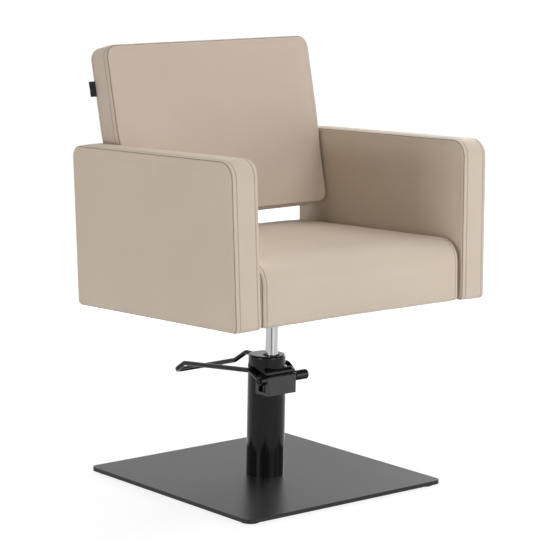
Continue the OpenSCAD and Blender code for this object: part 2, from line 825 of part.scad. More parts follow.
module seat_mount() {
    color([0.14, 0.14, 0.14])
        difference() {
            union() {
                tipped() {
                    translate([-mount_w / 2, -mount_w / 2, mount_z])
                        linear_extrude(mount_t) round_rect(mount_w, mount_w, 12);
                    for (a = [45:90:315]) rotate(a) gusset();
                }
                // the socket itself stands upright, on the rod
                translate([0, 0, socket_z]) cylinder(d = socket_d, h = socket_h + mount_t / 2);
            }
            translate([0, 0, socket_z - run]) cylinder(r1 = rod_d / 2 + run, r2 = taper_r + run, h = taper_h);
            translate([0, 0, rod_top - 2 * run]) cylinder(r = taper_r + run, h = mount_t + socket_h);
            tipped() at_mount_bolts() translate([0, 0, mount_z - cut])
                cylinder(d = base_bolt_d + 2 * slack, h = mount_t + 2 * cut);
        }
}

gusset_t = 5;
gusset_reach = mount_pitch / sqrt(2) - 24;
module gusset() {
    translate([0, gusset_t / 2, mount_z]) rotate([90, 0, 0])
        linear_extrude(gusset_t)
            polygon([[socket_d / 2 - 3, 0.5], [gusset_reach, 0.5], [gusset_reach, -4], [socket_d / 2 + 3, -socket_h + 6],
                [socket_d / 2 - 3, -socket_h + 6]]);
}

module mount_bolts() {
    color([0.55, 0.55, 0.55])
        tipped() at_mount_bolts() {
            translate([0, 0, mount_z - 7]) cylinder(d = 13, h = 6, $fn = 6);
            translate([0, 0, mount_z - 1.5]) cylinder(r = bolt_head_r, h = 1.5);
            translate([0, 0, mount_z - 2]) cylinder(d = base_bolt_d, h = mount_t + board_t + 2);
        }
}

module tee_nuts() {
    color([0.7, 0.7, 0.7])
        tipped() at_mount_bolts()
            difference() {
                union() {
                    translate([0, 0, seat_bottom + board_t]) cylinder(r = 10, h = 1.5);
                    translate([0, 0, seat_bottom + board_t - 9]) cylinder(r = base_bolt_d / 2 + 1.5, h = 10);
                }
                translate([0, 0, seat_bottom]) cylinder(d = base_bolt_d + 2 * slack, h = board_t + 2 * cut + 1);
            }
}

// Seat

// Spaces that the arm fixings need: bolt holes in timber, wider holes through foam
module at_arm_bolts(sides = [-1, 1]) {
    for (s = sides, y = arm_bolt_ys) translate([0, y, arm_rail_z]) mirror([s < 0 ? 1 : 0, 0, 0]) children();
}

module seat_box() {
    color([0.76, 0.62, 0.42])
        tipped() difference() {
            box([-frame_half, frame_front, seat_bottom], [frame_half, frame_back, box_top]);
            box([-frame_half + box_wall, frame_front + box_wall, seat_bottom + board_t],
                [frame_half - box_wall, frame_back - box_wall, box_top + cut]);
            at_mount_bolts() {
                translate([0, 0, seat_bottom - cut]) cylinder(d = base_bolt_d + 2 * slack, h = board_t + 2 * cut);
                translate([0, 0, seat_bottom + board_t - 9 - slack]) cylinder(r = base_bolt_d / 2 + 1.5 + slack, h = 12);
            }
            at_arm_bolts() shaft_x(frame_bolt_d / 2 + slack, frame_half - box_wall - cut, frame_half + cut);
        }
}

module seat_board() {
    color([0.74, 0.6, 0.4])
        tipped() box([-frame_half, frame_front, box_top], [frame_half, frame_back, board_top]);
}

module dust_cover() {
    color([0.08, 0.08, 0.08])
        tipped() difference() {
            box([-frame_half + 2, frame_front + 2, seat_bottom - 1.2], [frame_half - 2, frame_back - 2, seat_bottom]);
            box([-mount_w / 2 - 2, -mount_w / 2 - 2, seat_bottom - 3], [mount_w / 2 + 2, mount_w / 2 + 2, seat_bottom + 1]);
        }
}

module seat_cushion() {
    mid_y = (seat_front + seat_back) / 2;
    color([0.78, 0.71, 0.64])
        tipped() difference() {
            translate([0, mid_y, seat_bottom + seat_h / 2]) stand_sideways()
                padded((seat_back - seat_front) / 2, seat_h / 2, [8, 20, seat_round, 8], seat_half, 8,
                    [0.5, 0.5], 0, 1, lift = seat_crown, panels = 3, bands = 8);
            box([-frame_half - hair, frame_front - hair, seat_bottom - 5 * cut],
                [frame_half + hair, frame_back + hair, board_top + hair]);
            at_arm_bolts() shaft_x(spacer_r + hair, frame_half - cut, arm_in);
        }
}

// Arms, drawn for the left one and mirrored for the right one

arm_half_y = (arm_front + arm_back) / 2;
arm_mid_y = (arm_back - arm_front) / 2;
arm_mid_z = arm_z + arm_h / 2;
arm_edge = 5;
arm_crown = 1.5;

module arm_frame_space(gap) {
    translate([arm_frame_x0 - gap, 0, 0]) stand_sideways()
        rail_frame([-arm_front + arm_foam - gap, arm_z + arm_foam - gap],
            [arm_back - arm_foam + gap, arm_z + arm_h - arm_foam + gap], rail_t + 2 * gap, rail_w + 2 * gap,
            arm_rear_rail + 2 * gap);
}

module arm_frame() {
    color([0.76, 0.62, 0.42])
        tipped() difference() {
            arm_frame_space(0);
            at_arm_bolts([1]) shaft_x(frame_bolt_d / 2 + slack, arm_frame_x0 - cut, arm_frame_x1 - 2);
            at_back_bolts([1]) shaft_x(frame_bolt_d / 2 + slack, arm_frame_x0 - cut, arm_frame_x1 + cut);
            at_back_bolts([1]) shaft_x(bolt_head_r + slack, arm_frame_x1 - bolt_head_t - 1, arm_frame_x1 + cut);
        }
}

module arm_pad() {
    color([0.78, 0.71, 0.64])
        tipped() difference() {
            translate([arm_mid_x, arm_mid_y, arm_mid_z]) stand_sideways()
                padded(arm_half_y, arm_h / 2, [10, arm_round_back, arm_round_front, 10],
                    arm_t / 2 - arm_crown, arm_edge, [arm_crown, arm_crown], 0.6, 0.6);
            arm_frame_space(hair);
            at_arm_bolts([1]) shaft_x(spacer_r + hair, arm_in - 3, arm_frame_x0);
            at_back_bolts([1]) shaft_x(spacer_r + hair, arm_in - 3, arm_frame_x0);
        }
}

module arm_frame_left() { arm_frame(); }
module arm_frame_right() { mirror([1, 0, 0]) arm_frame(); }
module arm_pad_left() { arm_pad(); }
module arm_pad_right() { mirror([1, 0, 0]) arm_pad(); }

module arm_bolts() {
    color([0.55, 0.55, 0.55])
        tipped() at_arm_bolts() flanged_bolt(frame_half - box_wall, arm_frame_x1 - 4);
}

// Bolt along X with its head's face at x0
module flanged_bolt(x0, x1) {
    difference() {
        union() {
            shaft_x(bolt_head_r, x0 - bolt_head_t, x0);
            shaft_x(frame_bolt_d / 2, x0 - cut, x1);
        }
        translate([x0 - bolt_head_t - cut, 0, 0]) rotate([0, 90, 0]) cylinder(d = 5.8, h = 3 + cut, $fn = 6);
    }
}

module arm_spacers() {
    color([0.5, 0.5, 0.5])
        tipped() at_arm_bolts() spacer_x(frame_half, arm_frame_x0);
}

module spacer_x(x0, x1) {
    difference() {
        shaft_x(spacer_r, x0, x1);
        shaft_x(frame_bolt_d / 2 + slack, x0 - cut, x1 + cut);
    }
}

// Backrest

module at_back_bolts(sides = [-1, 1]) {
    for (s = sides, u = back_bolt_us) translate(back_bolt_at(u)) mirror([s < 0 ? 1 : 0, 0, 0]) children();
}

module back_frame_space(gap) {
    lean_back() translate([0, 0, back_frame_v0 - gap])
        rail_frame([-back_frame_half - gap, back_foam - gap], [back_frame_half + gap, back_h - back_foam + gap],
            back_rail_t + 2 * gap, rail_w + 2 * gap, rail_w + 2 * gap);
}

module back_frame() {
    color([0.76, 0.62, 0.42])
        tipped() difference() {
            back_frame_space(0);
            at_back_bolts() shaft_x(frame_bolt_d / 2 + slack, back_frame_half - rail_w + 8, back_frame_half + cut);
        }
}

module back_cushion() {
    color([0.74, 0.67, 0.6])
        tipped() difference() {
            lean_back() translate([0, back_h / 2, back_t / 2]) rotate([0, 180, 0])
                padded(back_half, back_h / 2, [back_round, back_round, back_round, back_round],
                    back_t / 2, 7, [back_crown, 3], back_bow, back_bow, panels = 5);
            back_frame_space(hair);
            at_back_bolts() shaft_x(spacer_r + hair, back_frame_half - cut, arm_in + cut);
        }
}

module back_bolts() {
    color([0.55, 0.55, 0.55])
        tipped() at_back_bolts() mirror([1, 0, 0]) flanged_bolt(-arm_frame_x1 + bolt_head_t + 1, -back_frame_half + rail_w - 10);
}

module back_spacers() {
    color([0.5, 0.5, 0.5])
        tipped() at_back_bolts() spacer_x(back_frame_half, arm_frame_x0);
}

module side_tag() {
    color([0.05, 0.05, 0.05])
        tipped() lean_back()
            box([-back_half - tag_out, tag_u, back_t - 7 - tag_t], [-back_half - back_bow - hair, tag_u + tag_h, back_t - 7]);
}

// Pedal

module pedal_lever() {
    color([0.1, 0.1, 0.1])
        difference() {
            union() {
                tube_through(bar_stations(pedal_path, bend_r), bar_r, bar_sides);
                at_shaft() {
                    shaft_x(eye_r, eye_x - eye_t, eye_x);
                    shaft_x(clamp_r, boss_x, boss_x + boss_len - 1.5);
                    translate([boss_x + boss_len - 1.5, 0, 0]) rotate([0, 90, 0])
                        cylinder(r1 = clamp_r, r2 = clamp_r - 1.5, h = 1.5);
                }
            }
            at_shaft() {
                shaft_x(shaft_r + run, eye_x - eye_t - cut, eye_x + cut);
                shaft_x(shaft_r + run, boss_x - cut, shaft_x1 + slack);
                translate([grub_x, 0, 0]) cylinder(r = 2.5 + run, h = clamp_r + cut);
            }
        }
}

grub_x = boss_x + boss_len * 0.6;

module pivot_shaft() {
    color([0.6, 0.6, 0.6])
        at_shaft()
            difference() {
                shaft_x(shaft_r, shaft_x0, shaft_x1);
                shaft_x(2.5 + run, shaft_x0 - cut, shaft_x0 + 12);
                translate([pocket_x, 0, -shaft_r - cut]) cylinder(r = 1.5 + run, h = shaft_d + 2 * cut);
            }
}

module pump_crank() {
    color([0.4, 0.4, 0.4])
        difference() {
            translate([pocket_x, shaft_y, shaft_z]) rotate([crank_tilt, 0, 0]) {
                shaft_x(crank_hub_r, -crank_w / 2, crank_w / 2);
                translate([0, crank_r, 0]) shaft_x(nose_r, -crank_w / 2, crank_w / 2);
                box([-crank_w / 2, shaft_r, 1 - nose_r], [crank_w / 2, crank_r, nose_r - 0.5]);
            }
            at_shaft() {
                shaft_x(shaft_r + run, -block_w, 0);
                translate([pocket_x, 0, -crank_hub_r - cut]) cylinder(r = 1.5 + run, h = 2 * crank_hub_r + 2 * cut);
            }
        }
}

module crank_pin() {
    color([0.5, 0.5, 0.5])
        at_shaft() translate([pocket_x, 0, -crank_hub_r]) cylinder(r = 1.5, h = 2 * crank_hub_r);
}

module pedal_screw() {
    head_x = eye_x - eye_t - 1;
    color([0.3, 0.3, 0.3])
        at_shaft()
            difference() {
                union() {
                    shaft_x(2.5, head_x - 1, shaft_x0 + 11);
                    shaft_x(5.5, head_x - 2, head_x);
                    translate([head_x - 3.5, 0, 0]) rotate([0, 90, 0]) cylinder(r1 = 4, r2 = 5.5, h = 1.5);
                }
                for (a = [0, 90]) rotate([a, 0, 0])
                    box([head_x - 4, -0.7, -2.8], [head_x - 1.2, 0.7, 2.8]);
            }
}

module pedal_washer() {
    color([0.35, 0.35, 0.35])
        at_shaft()
            difference() {
                shaft_x(7.5, eye_x - eye_t - 1, eye_x - eye_t);
                shaft_x(2.5 + slack, eye_x - eye_t - 3, eye_x);
            }
}

module pedal_grub_screw() {
    color([0.3, 0.3, 0.3])
        at_shaft() translate([grub_x, 0, 0])
            difference() {
                translate([0, 0, shaft_r]) cylinder(r = 2.5, h = clamp_r - shaft_r - 0.4);
                translate([0, 0, clamp_r - 3]) cylinder(d = 2.5, h = 4, $fn = 6);
            }
}

base_plate();
base_feet();
foot_screws();
base_bolts();
column_flange();
column_tube();
column_cap();
rod_guide_bush();
rod_wiper();
oil_cylinder();
oil_pipe();
pump_block();
block_cover();
cover_screws();
shaft_bushes();
plunger_sleeve();
plunger_spring();
pump_plunger();
piston_head();
piston_seals();
rod_snap_ring();
thrust_washer();
piston_rod();
seat_mount();
mount_bolts();
tee_nuts();
seat_box();
seat_board();
dust_cover();
seat_cushion();
arm_frame_left();
arm_frame_right();
arm_pad_left();
arm_pad_right();
arm_bolts();
arm_spacers();
back_frame();
back_cushion();
back_bolts();
back_spacers();
side_tag();
pedal_lever();
pivot_shaft();
pump_crank();
crank_pin();
pedal_screw();
pedal_washer();
pedal_grub_screw();
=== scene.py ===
# %% [markdown]
# # A hairdressing chair on a pump column
#
# The chair is a box armchair in smooth pale artificial leather. It stands on a chromed rod, a gloss black
# column with a foot pump, and a square black floor plate. CAD has made every solid, and the motion is known
# too. This notebook dresses that frame: it sews the cushions and their topstitching, weaves the side tag,
# winds the pump's spring, rounds the lid over the pump, and gives every part its finish. Everything is in the
# CAD's own frame: the floor is z = 0, the seat turns about the z axis and the sitter faces -Y.

# %% Load the frame
import bpy
import numpy as np
from mathutils import Matrix, Vector


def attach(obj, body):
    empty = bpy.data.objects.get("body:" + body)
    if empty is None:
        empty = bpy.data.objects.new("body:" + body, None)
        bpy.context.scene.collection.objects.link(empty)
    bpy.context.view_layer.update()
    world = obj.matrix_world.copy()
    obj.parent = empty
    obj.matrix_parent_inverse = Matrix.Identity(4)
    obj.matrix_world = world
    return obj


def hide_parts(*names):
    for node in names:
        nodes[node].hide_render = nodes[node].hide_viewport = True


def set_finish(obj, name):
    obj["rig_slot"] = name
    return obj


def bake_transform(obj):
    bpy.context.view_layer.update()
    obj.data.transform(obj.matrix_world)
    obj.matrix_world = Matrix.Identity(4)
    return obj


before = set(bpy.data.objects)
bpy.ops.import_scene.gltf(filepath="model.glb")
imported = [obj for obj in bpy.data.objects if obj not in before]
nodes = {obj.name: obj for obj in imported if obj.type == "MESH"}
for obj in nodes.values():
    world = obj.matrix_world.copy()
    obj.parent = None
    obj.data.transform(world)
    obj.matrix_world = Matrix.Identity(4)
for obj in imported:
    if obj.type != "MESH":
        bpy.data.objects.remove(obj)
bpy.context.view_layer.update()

# %% [markdown]
# ## From arrays to a mesh
#
# A piece could be modelled by hand in Blender, but then nothing tells the next reader why a point is where it
# is. Here a shape is an array of points worked out by a formula, in millimetres as on a drawing. One helper
# turns the array into a mesh in metres. It first measures the volume that the faces enclose: a negative one
# means that they point inwards, and then every face is turned over. Most shapes are grids of points, whose
# neighbours span the faces, and a stack of rings is closed by a lid of faces at either end.

# %% A mesh from points and faces
MM = 0.001


def volume(points, faces):
    """Enclosed volume: each face is cut into triangles, and a sixth of a . (b x c) is summed over them."""
    total = 0.0
    for k in range(1, faces.shape[1] - 1):
        a, b, c = points[faces[:, 0]], points[faces[:, k]], points[faces[:, k + 1]]
        total += np.einsum("ij,ij->i", a, np.cross(b, c)).sum() / 6
    return total


def outwards(points, faces):
    """The faces, turned over if they point inwards."""
    return faces[:, ::-1] if volume(points, faces) < 0 else faces


def as_mesh(name, points, faces):
    """An object at the origin from points in mm and an array of faces, turned so that they look outwards."""
    mesh = bpy.data.meshes.new(name)
    mesh.from_pydata((points * MM).tolist(), [], outwards(points, faces).tolist())
    mesh.polygons.foreach_set("use_smooth", np.full(len(faces), True))
    mesh.update()
    piece = bpy.data.objects.new(name, mesh)
    bpy.context.scene.collection.objects.link(piece)
    return piece


def quads(index):
    """One face between each four neighbours of a grid of point numbers."""
    return np.stack([index[:-1, :-1], index[1:, :-1], index[1:, 1:], index[:-1, 1:]], -1).reshape(-1, 4)


def grid_faces(rows, columns, close_rows=False, close_columns=False):
    """Faces between the points of a grid, whose last row or column may join the first."""
    index = np.arange(rows * columns).reshape(rows, columns)
    if close_rows:
        index = np.vstack([index, index[:1]])
    if close_columns:
        index = np.hstack([index, index[:, :1]])
    return quads(index)


def stacked(rings):
    """A closed skin through rings of equally many points, an even number n. Rung k of the lid at either end
    joins the points k and k + 1 with n - 2 - k and n - 1 - k."""
    count, n = rings.shape[:2]
    k = np.arange(n // 2 - 1)
    lid = np.stack([k, k + 1, n - 2 - k, n - 1 - k], -1)
    skin = grid_faces(count, n, close_columns=True)
    return rings.reshape(-1, 3), np.vstack([skin, lid, lid[:, ::-1] + (count - 1) * n])


def joined(parts):
    """Several (points, faces) as one, each turned outwards first."""
    points, faces, count = [], [], 0
    for p, f in parts:
        points.append(p)
        faces.append(outwards(p, f) + count)
        count += len(p)
    return np.vstack(points), np.vstack(faces)


square = np.array([[0, 0], [1, 0], [1, 1], [0, 1]], float)
cube = stacked(np.array([np.column_stack([square, np.full(4, z)]) for z in (0.0, 1.0)]))
print("a test cube has", len(cube[1]), "faces and the volume", round(abs(volume(*cube)), 6))

# %% [markdown]
# ## A box cushion's pattern
#
# The upholsterer cuts two equal panels and one long band. The band runs round the panels' outline and is sewn
# to both, so the seam lies in the rounded edge between panel and band. Then a topstitch runs along the band,
# beside the seam. The seat and the arms have their panels at the sides, and the back has them at front and
# rear.
#
# The mesh follows that pattern. The outline is a rectangle with four corner radii, taken at any inset. The
# strip is a profile across the band, carried round the outline: that is a grid of stations by profile points,
# so a groove for the seam needs only a dip in the profile. Each panel is a grid too, stretched between the
# strip's edges.

# %% The outline at any inset
def facing(degrees):
    """Unit vectors (cos, sin) in these directions."""
    angle = np.radians(degrees)
    return np.stack([np.cos(angle), np.sin(angle)], -1)


def outline(half_a, half_b, radii, side_a, side_b, arc):
    """Points round a rectangle with rounded corners, starting at the 45 degree point of the corner (-a, -b).
    Each side has an even number of steps, and each corner turns in `arc` even steps, half of them belonging
    to either side."""
    corners = np.array([[-1, -1], [1, -1], [1, 1], [-1, 1]], float)
    half = arc // 2
    swing = 45 / half * np.arange(half)
    parts = []
    for k in range(4):
        here, there = corners[k], corners[(k + 1) % 4]
        r0, r1 = radii[k], radii[(k + 1) % 4]
        centre0 = here * [half_a - r0, half_b - r0]
        centre1 = there * [half_a - r1, half_b - r1]
        square_out = 270 + 90 * k
        steps = side_a if k % 2 == 0 else side_b
        share = np.arange(steps)[:, None] / steps
        start, end = centre0 + r0 * facing(square_out), centre1 + r1 * facing(square_out)
        parts.append(centre0 + r0 * facing(square_out - 45 + swing))
        parts.append(start * (1 - share) + end * share)
        parts.append(centre1 + r1 * facing(square_out + swing))
    return np.vstack(parts)


def between_borders(loop, along_a, along_b):
    """A grid stretched over a closed loop: the two rules between facing borders, added, less the rule between
    the four corners (a Coons patch)."""
    corner1, corner2, corner3 = along_a, along_a + along_b, 2 * along_a + along_b
    south, east = loop[:corner1 + 1], loop[corner1:corner2 + 1]
    north = loop[corner2:corner3 + 1][::-1]
    west = np.vstack([loop[corner3:], loop[:1]])[::-1]
    s, t = np.linspace(0, 1, along_a + 1)[:, None, None], np.linspace(0, 1, along_b + 1)[None, :, None]
    ruled = (1 - t) * south[:, None] + t * north[:, None] + (1 - s) * west[None] + s * east[None]
    return ruled - ((1 - s) * (1 - t) * loop[0] + s * (1 - t) * loop[corner1] + s * t * loop[corner2]
                    + (1 - s) * t * loop[corner3])


trial = outline(200, 100, [10, 20, 30, 20], 20, 10, 8)
longest = np.linalg.norm(np.roll(trial, -1, 0) - trial, axis=1).max()
print("an outline of", len(trial), "stations, longest step", round(float(longest), 1), "mm")

# %% [markdown]
# ## Seams, topstitch and the pull of the thread
#
# The profile across the strip starts on one panel, goes round the edge, over the band and round the other
# edge. It is written as (inset, depth) pairs. The seam is a narrow dip halfway round the edge, and the
# topstitch a shallow one beside it on the band. Rows lie closer together there, so the dips need no texture.
# Each row also keeps its distance to the seam and to the topstitch as attributes, which the leather's
# material reads.

# %% The profile across the band
# How far the strip reaches in over each panel, in mm.
RIM = 16.0


def band_profile(half_c, edge, stitch, seam_depth=1.3, seam_width=0.8, stitch_depth=0.7, stitch_width=1.0):
    """(run, inset, depth, distance to seam, distance to topstitch) of each row. Along the profile's length,
    the rows come close together at the seams and topstitches, and the dips are Gaussian curves of the
    distance to them."""
    arc = edge * np.pi / 2
    flat = RIM - edge
    length = 2 * (flat + arc) + 2 * (half_c - edge)
    seam = flat + arc / 2
    sew = seam + stitch
    fine = np.array([-4.5, -2.6, -1.5, -0.9, -0.45, 0, 0.45, 0.9, 1.5, 2.6])
    near = np.concatenate([[0, flat * 0.5], seam + fine, sew + fine[2:], [seam + stitch * 0.5]])
    margin, spacing, least = 5, 9, 0.2
    middle_rows = max(3, int((length - 2 * sew - 2 * margin) / spacing) + 1)
    inner = np.linspace(sew + margin, length - sew - margin, middle_rows)
    rows = np.unique(np.round(np.concatenate([near, length - near, inner]), 3))
    rows = rows[np.concatenate([[True], np.diff(rows) > least])]
    x = np.minimum(rows, length - rows)
    turn = np.clip((x - flat) / edge, 0, np.pi / 2)
    on_band = np.clip(x - flat - arc, 0, None)
    inset = np.where(x < flat, RIM - x, edge * (1 - np.sin(turn)))
    depth = half_c - edge * (1 - np.cos(turn)) - on_band
    to_seam, to_sew = np.abs(x - seam), np.abs(x - sew)
    dip = seam_depth * np.exp(-(to_seam / seam_width) ** 2)
    dip = dip + stitch_depth * np.exp(-(to_sew / stitch_width) ** 2)
    inset = inset + dip * np.sin(turn)
    depth = (depth - dip * np.cos(turn)) * np.where(rows <= length / 2, 1, -1)
    return rows, inset, depth, to_seam, to_sew


def thinned(profile, step):
    """Fewer rows of a profile: about one for each step, and both seams."""
    rows, to_seam = profile[0], profile[3]
    even = np.searchsorted(rows, np.linspace(rows[0], rows[-1], max(5, int(rows[-1] / step) + 1)))
    seams = np.argsort(to_seam, kind="stable")[:2]
    keep = np.unique(np.concatenate([even.clip(0, len(rows) - 1), seams]))
    return [values[keep] for values in profile]


profile = band_profile(half_c=32, edge=5, stitch=8)
coarse_profile = thinned(profile, 9.0)
print(len(profile[0]), "rows across the band of an arm,", len(coarse_profile[0]), "in a coarse one")

# %% [markdown]
# ## Sewing the cushion together
#
# One function makes the whole cushion in its own axes: a and b lie in the panels, c runs across the band. The
# strip's stations go round, its rows go across, and the two panels close it. Panels are crowned by a curve
# that is flat in the middle and falls to the seam, because the foam is cut larger than the cover.

# %% A box cushion
# The distance to a seam that the panels' inner points are given, in mm: far enough for no effect.
OFF_SEAM = 30.0


def panel(border, numbers, along_a, along_b, first, height):
    """A panel inside a closed border: its inner points, numbered from `first`, and the faces of its whole
    grid, whose rim has the border's own numbers."""
    a, b = np.arange(along_a), np.arange(along_b)
    rim_a = np.concatenate([a, np.full(along_b, along_a), along_a - a, np.zeros(along_b, int)])
    rim_b = np.concatenate([np.zeros(along_a, int), b, np.full(along_a, along_b), along_b - b])
    index = np.full((along_a + 1, along_b + 1), -1)
    index[rim_a, rim_b] = numbers
    inside = index < 0
    index[inside] = first + np.arange(inside.sum())
    level = between_borders(border, along_a, along_b)[inside]
    return np.column_stack([level, np.full(len(level), height)]), quads(index)


def crowned(points, half, crown, bow):
    """With a, b, c as shares of the half sizes, each panel rises by its crown * (1 - |a|^3) * (1 - |b|^3),
    and the band's middle moves out by bow * (1 - c^2)."""
    share_a, share_b, share_c = (points[:, k] / half[k] for k in range(3))
    front, rear = crown
    swell = (1 - np.abs(share_a) ** 3).clip(0) * (1 - np.abs(share_b) ** 3).clip(0)
    across = (1 - share_c ** 2).clip(0)
    near_band = np.maximum(np.abs(share_a), np.abs(share_b)) ** 12
    points[:, 2] += np.where(points[:, 2] > 0, front, -rear) * swell * np.abs(share_c) ** 3
    points[:, :2] *= 1 + bow * (across * near_band)[:, None] / np.array(half[:2])
    return points


def cushion_shape(half, radii, edge, stitch, crown, bow, step=9.0, arc=10, coarse=False):
    """Points and faces of a box cushion, and a table of its rows. The strip's points come first, station by
    station, and then those inside the two panels."""
    half_a, half_b, half_c = half
    side_a = int(2 * round((2 * half_a - radii[0] - radii[1]) / step / 2))
    side_b = int(2 * round((2 * half_b - radii[1] - radii[2]) / step / 2))
    profile = band_profile(half_c, edge, stitch)
    rows, inset, depth, to_seam, to_sew = thinned(profile, step) if coarse else profile
    loops = np.stack([outline(half_a - d, half_b - d, [max(r - d, 2.0) for r in radii], side_a, side_b, arc)
                      for d in inset], 1)
    stations, across = loops.shape[:2]
    strip = np.concatenate([loops, np.broadcast_to(depth[None, :, None], (stations, across, 1))], -1)
    points = [strip.reshape(-1, 3)]
    faces = [grid_faces(stations, across, close_rows=True)[:, ::-1]]
    for row, side in ((0, 1), (across - 1, -1)):
        numbers = np.arange(stations) * across + row
        first = sum(map(len, points))
        inner, skin = panel(loops[:, row], numbers, side_a + arc, side_b + arc, first, side * half_c)
        points.append(inner)
        faces.append(skin[:, ::side])
    points = crowned(np.vstack(points), half, crown, bow)
    table = {"rows": rows, "stations": stations, "sew_rows": np.argsort(to_sew, kind="stable")[:2].tolist()}
    on_panels = np.full(len(points) - stations * across, OFF_SEAM)
    for label, gap in (("seam_gap", to_seam), ("sew_gap", to_sew)):
        table[label] = np.concatenate([np.tile(gap, stations), on_panels])
    return points, np.vstack(faces), table


points, faces, table = cushion_shape((200, 100, 30), [20] * 4, edge=6, stitch=8, crown=(4, 4), bow=1)
litres = abs(volume(points, faces)) / 1e6
print("a trial cushion:", len(points), "points,", len(faces), "faces, volume", round(litres, 2), "litres")

# %% [markdown]
# ## Words for nodes
#
# A Blender material is a small program of nodes. A few short helpers keep it readable: they add a node, mix
# two colours, do one sum or move a range, and each of them either links an input or sets it. Effects that
# several finishes share are node groups, made once. A group hands out masks and heights, and the material
# decides what to do with them.

# %% Nodes in one line
def plug(tree, socket, value):
    """Link another node's output to a socket, or set the socket's own value."""
    if isinstance(value, bpy.types.NodeSocket):
        tree.links.new(value, socket)
    else:
        socket.default_value = value


def fill(tree, node, inputs):
    """Plug values into a node's inputs, whose names have _ for a space."""
    for name, value in inputs.items():
        plug(tree, node.inputs[name.replace("_", " ")], value)
    return node


def add(tree, kind, settings=None, **inputs):
    """A node with its settings and inputs."""
    node = tree.nodes.new("ShaderNode" + kind)
    for name, value in (settings or {}).items():
        setattr(node, name, value)
    return fill(tree, node, inputs)


def mixed(tree, share, first, second):
    """Colour first where share is 0, second where it is 1."""
    node = add(tree, "Mix", {"data_type": "RGBA"})
    plug(tree, node.inputs[0], share)
    for socket, colour in ((node.inputs[6], first), (node.inputs[7], second)):
        plug(tree, socket, colour if isinstance(colour, bpy.types.NodeSocket) else (*colour, 1))
    return node.outputs[2]


def maths(tree, operation, first, second):
    """One sum on numbers, such as MULTIPLY or ADD."""
    node = add(tree, "Math", {"operation": operation})
    for socket, value in zip(node.inputs, (first, second)):
        plug(tree, socket, value)
    return node.outputs[0]


def ranged(tree, value, low, high, to_low=0.0, to_high=1.0):
    """Value taken from the range low to high and put in the range to_low to to_high, held at the ends."""
    node = add(tree, "MapRange")
    for socket, given in zip(node.inputs, (value, low, high, to_low, to_high)):
        plug(tree, socket, given)
    return node.outputs[0]


def new_group(name, inputs, outputs):
    """An empty node group: inputs are (name, socket type, default), outputs are names of numbers."""
    tree = bpy.data.node_groups.new(name, "ShaderNodeTree")
    for label, kind, value in inputs:
        socket = tree.interface.new_socket(label, in_out="INPUT", socket_type="NodeSocket" + kind)
        if value is not None:
            socket.default_value = value
    for label in outputs:
        tree.interface.new_socket(label, in_out="OUTPUT", socket_type="NodeSocketFloat")
    return tree, tree.nodes.new("NodeGroupInput").outputs, tree.nodes.new("NodeGroupOutput").inputs


def placed(tree, group, **inputs):
    """A node group put into a material, with its inputs."""
    node = add(tree, "Group", {"node_tree": group})
    return fill(tree, node, inputs)


def new_material(name, **surface):
    """A material and its tree, with the Principled shader's own constant values set."""
    material = bpy.data.materials.new(name)
    material.use_nodes = True
    tree = material.node_tree
    shader = fill(tree, tree.nodes["Principled BSDF"], surface)
    where = add(tree, "TexCoord").outputs["Object"]
    return material, tree, shader.inputs, where


def embossed(tree, strength, distance, height):
    """The normal of a surface whose height changes by a distance in metres."""
    return add(tree, "Bump", Strength=strength, Distance=distance, Height=height).outputs[0]


def srgb(*rgb):
    """Linear colour of an 8-bit colour as a screen shows it."""
    c = np.array(rgb) / 255
    return tuple(float(x) for x in np.where(c <= 0.04045, c / 12.92, ((c + 0.055) / 1.055) ** 2.4))


print("a mid grey of 128 on screen is", round(srgb(128, 128, 128)[0], 3), "in light")

# %% [markdown]
# ## Shared effects: uneven tone, skin grain, and paint
#
# Nothing real is one flat colour. The first group gives slow clouds and fine specks for tone and polish. The
# second is the embossed grain of artificial leather: small rounded cells about 0.7 mm wide, from a smooth
# Voronoi pattern, with creases between them. The third is the faint orange peel of sprayed or powder paint.

# %% Group: uneven tone
WHERE = ("Where", "Vector", None)
tone_group, into, out = new_group(
    "uneven_tone", [WHERE, ("Clouds per metre", "Float", 6.0), ("Specks per metre", "Float", 400.0)],
    ["Clouds", "Specks"])
clouds = add(tone_group, "TexNoise", Vector=into["Where"], Scale=into["Clouds per metre"], Detail=3.0)
specks = add(tone_group, "TexNoise", Vector=into["Where"], Scale=into["Specks per metre"], Detail=2.0)
plug(tone_group, out["Clouds"], ranged(tone_group, clouds.outputs[0], 0.3, 0.7))
plug(tone_group, out["Specks"], ranged(tone_group, specks.outputs[0], 0.35, 0.65))
print(tone_group.name, "made of", len(tone_group.nodes), "nodes")

# %% Group: skin grain
grain_group, into, out = new_group(
    "skin_grain", [WHERE, ("Cells per metre", "Float", 1500.0)], ["Height", "Pores"])
cells = add(grain_group, "TexVoronoi", {"feature": "SMOOTH_F1"}, Vector=into["Where"],
            Scale=into["Cells per metre"], Smoothness=0.6, Randomness=0.9)
creases_per_metre = maths(grain_group, "MULTIPLY", into["Cells per metre"], 0.12)
creases = add(grain_group, "TexNoise", Vector=into["Where"], Scale=creases_per_metre,
              Detail=4.0, Roughness=0.6)
cell_height = ranged(grain_group, cells.outputs["Distance"], 0.15, 0.7, 1.0, 0.0)
crease_height = maths(grain_group, "MULTIPLY", creases.outputs[0], 0.6)
plug(grain_group, out["Height"], maths(grain_group, "ADD", cell_height, crease_height))
plug(grain_group, out["Pores"], ranged(grain_group, cells.outputs["Distance"], 0.45, 0.75))
print(grain_group.name, "made of", len(grain_group.nodes), "nodes")

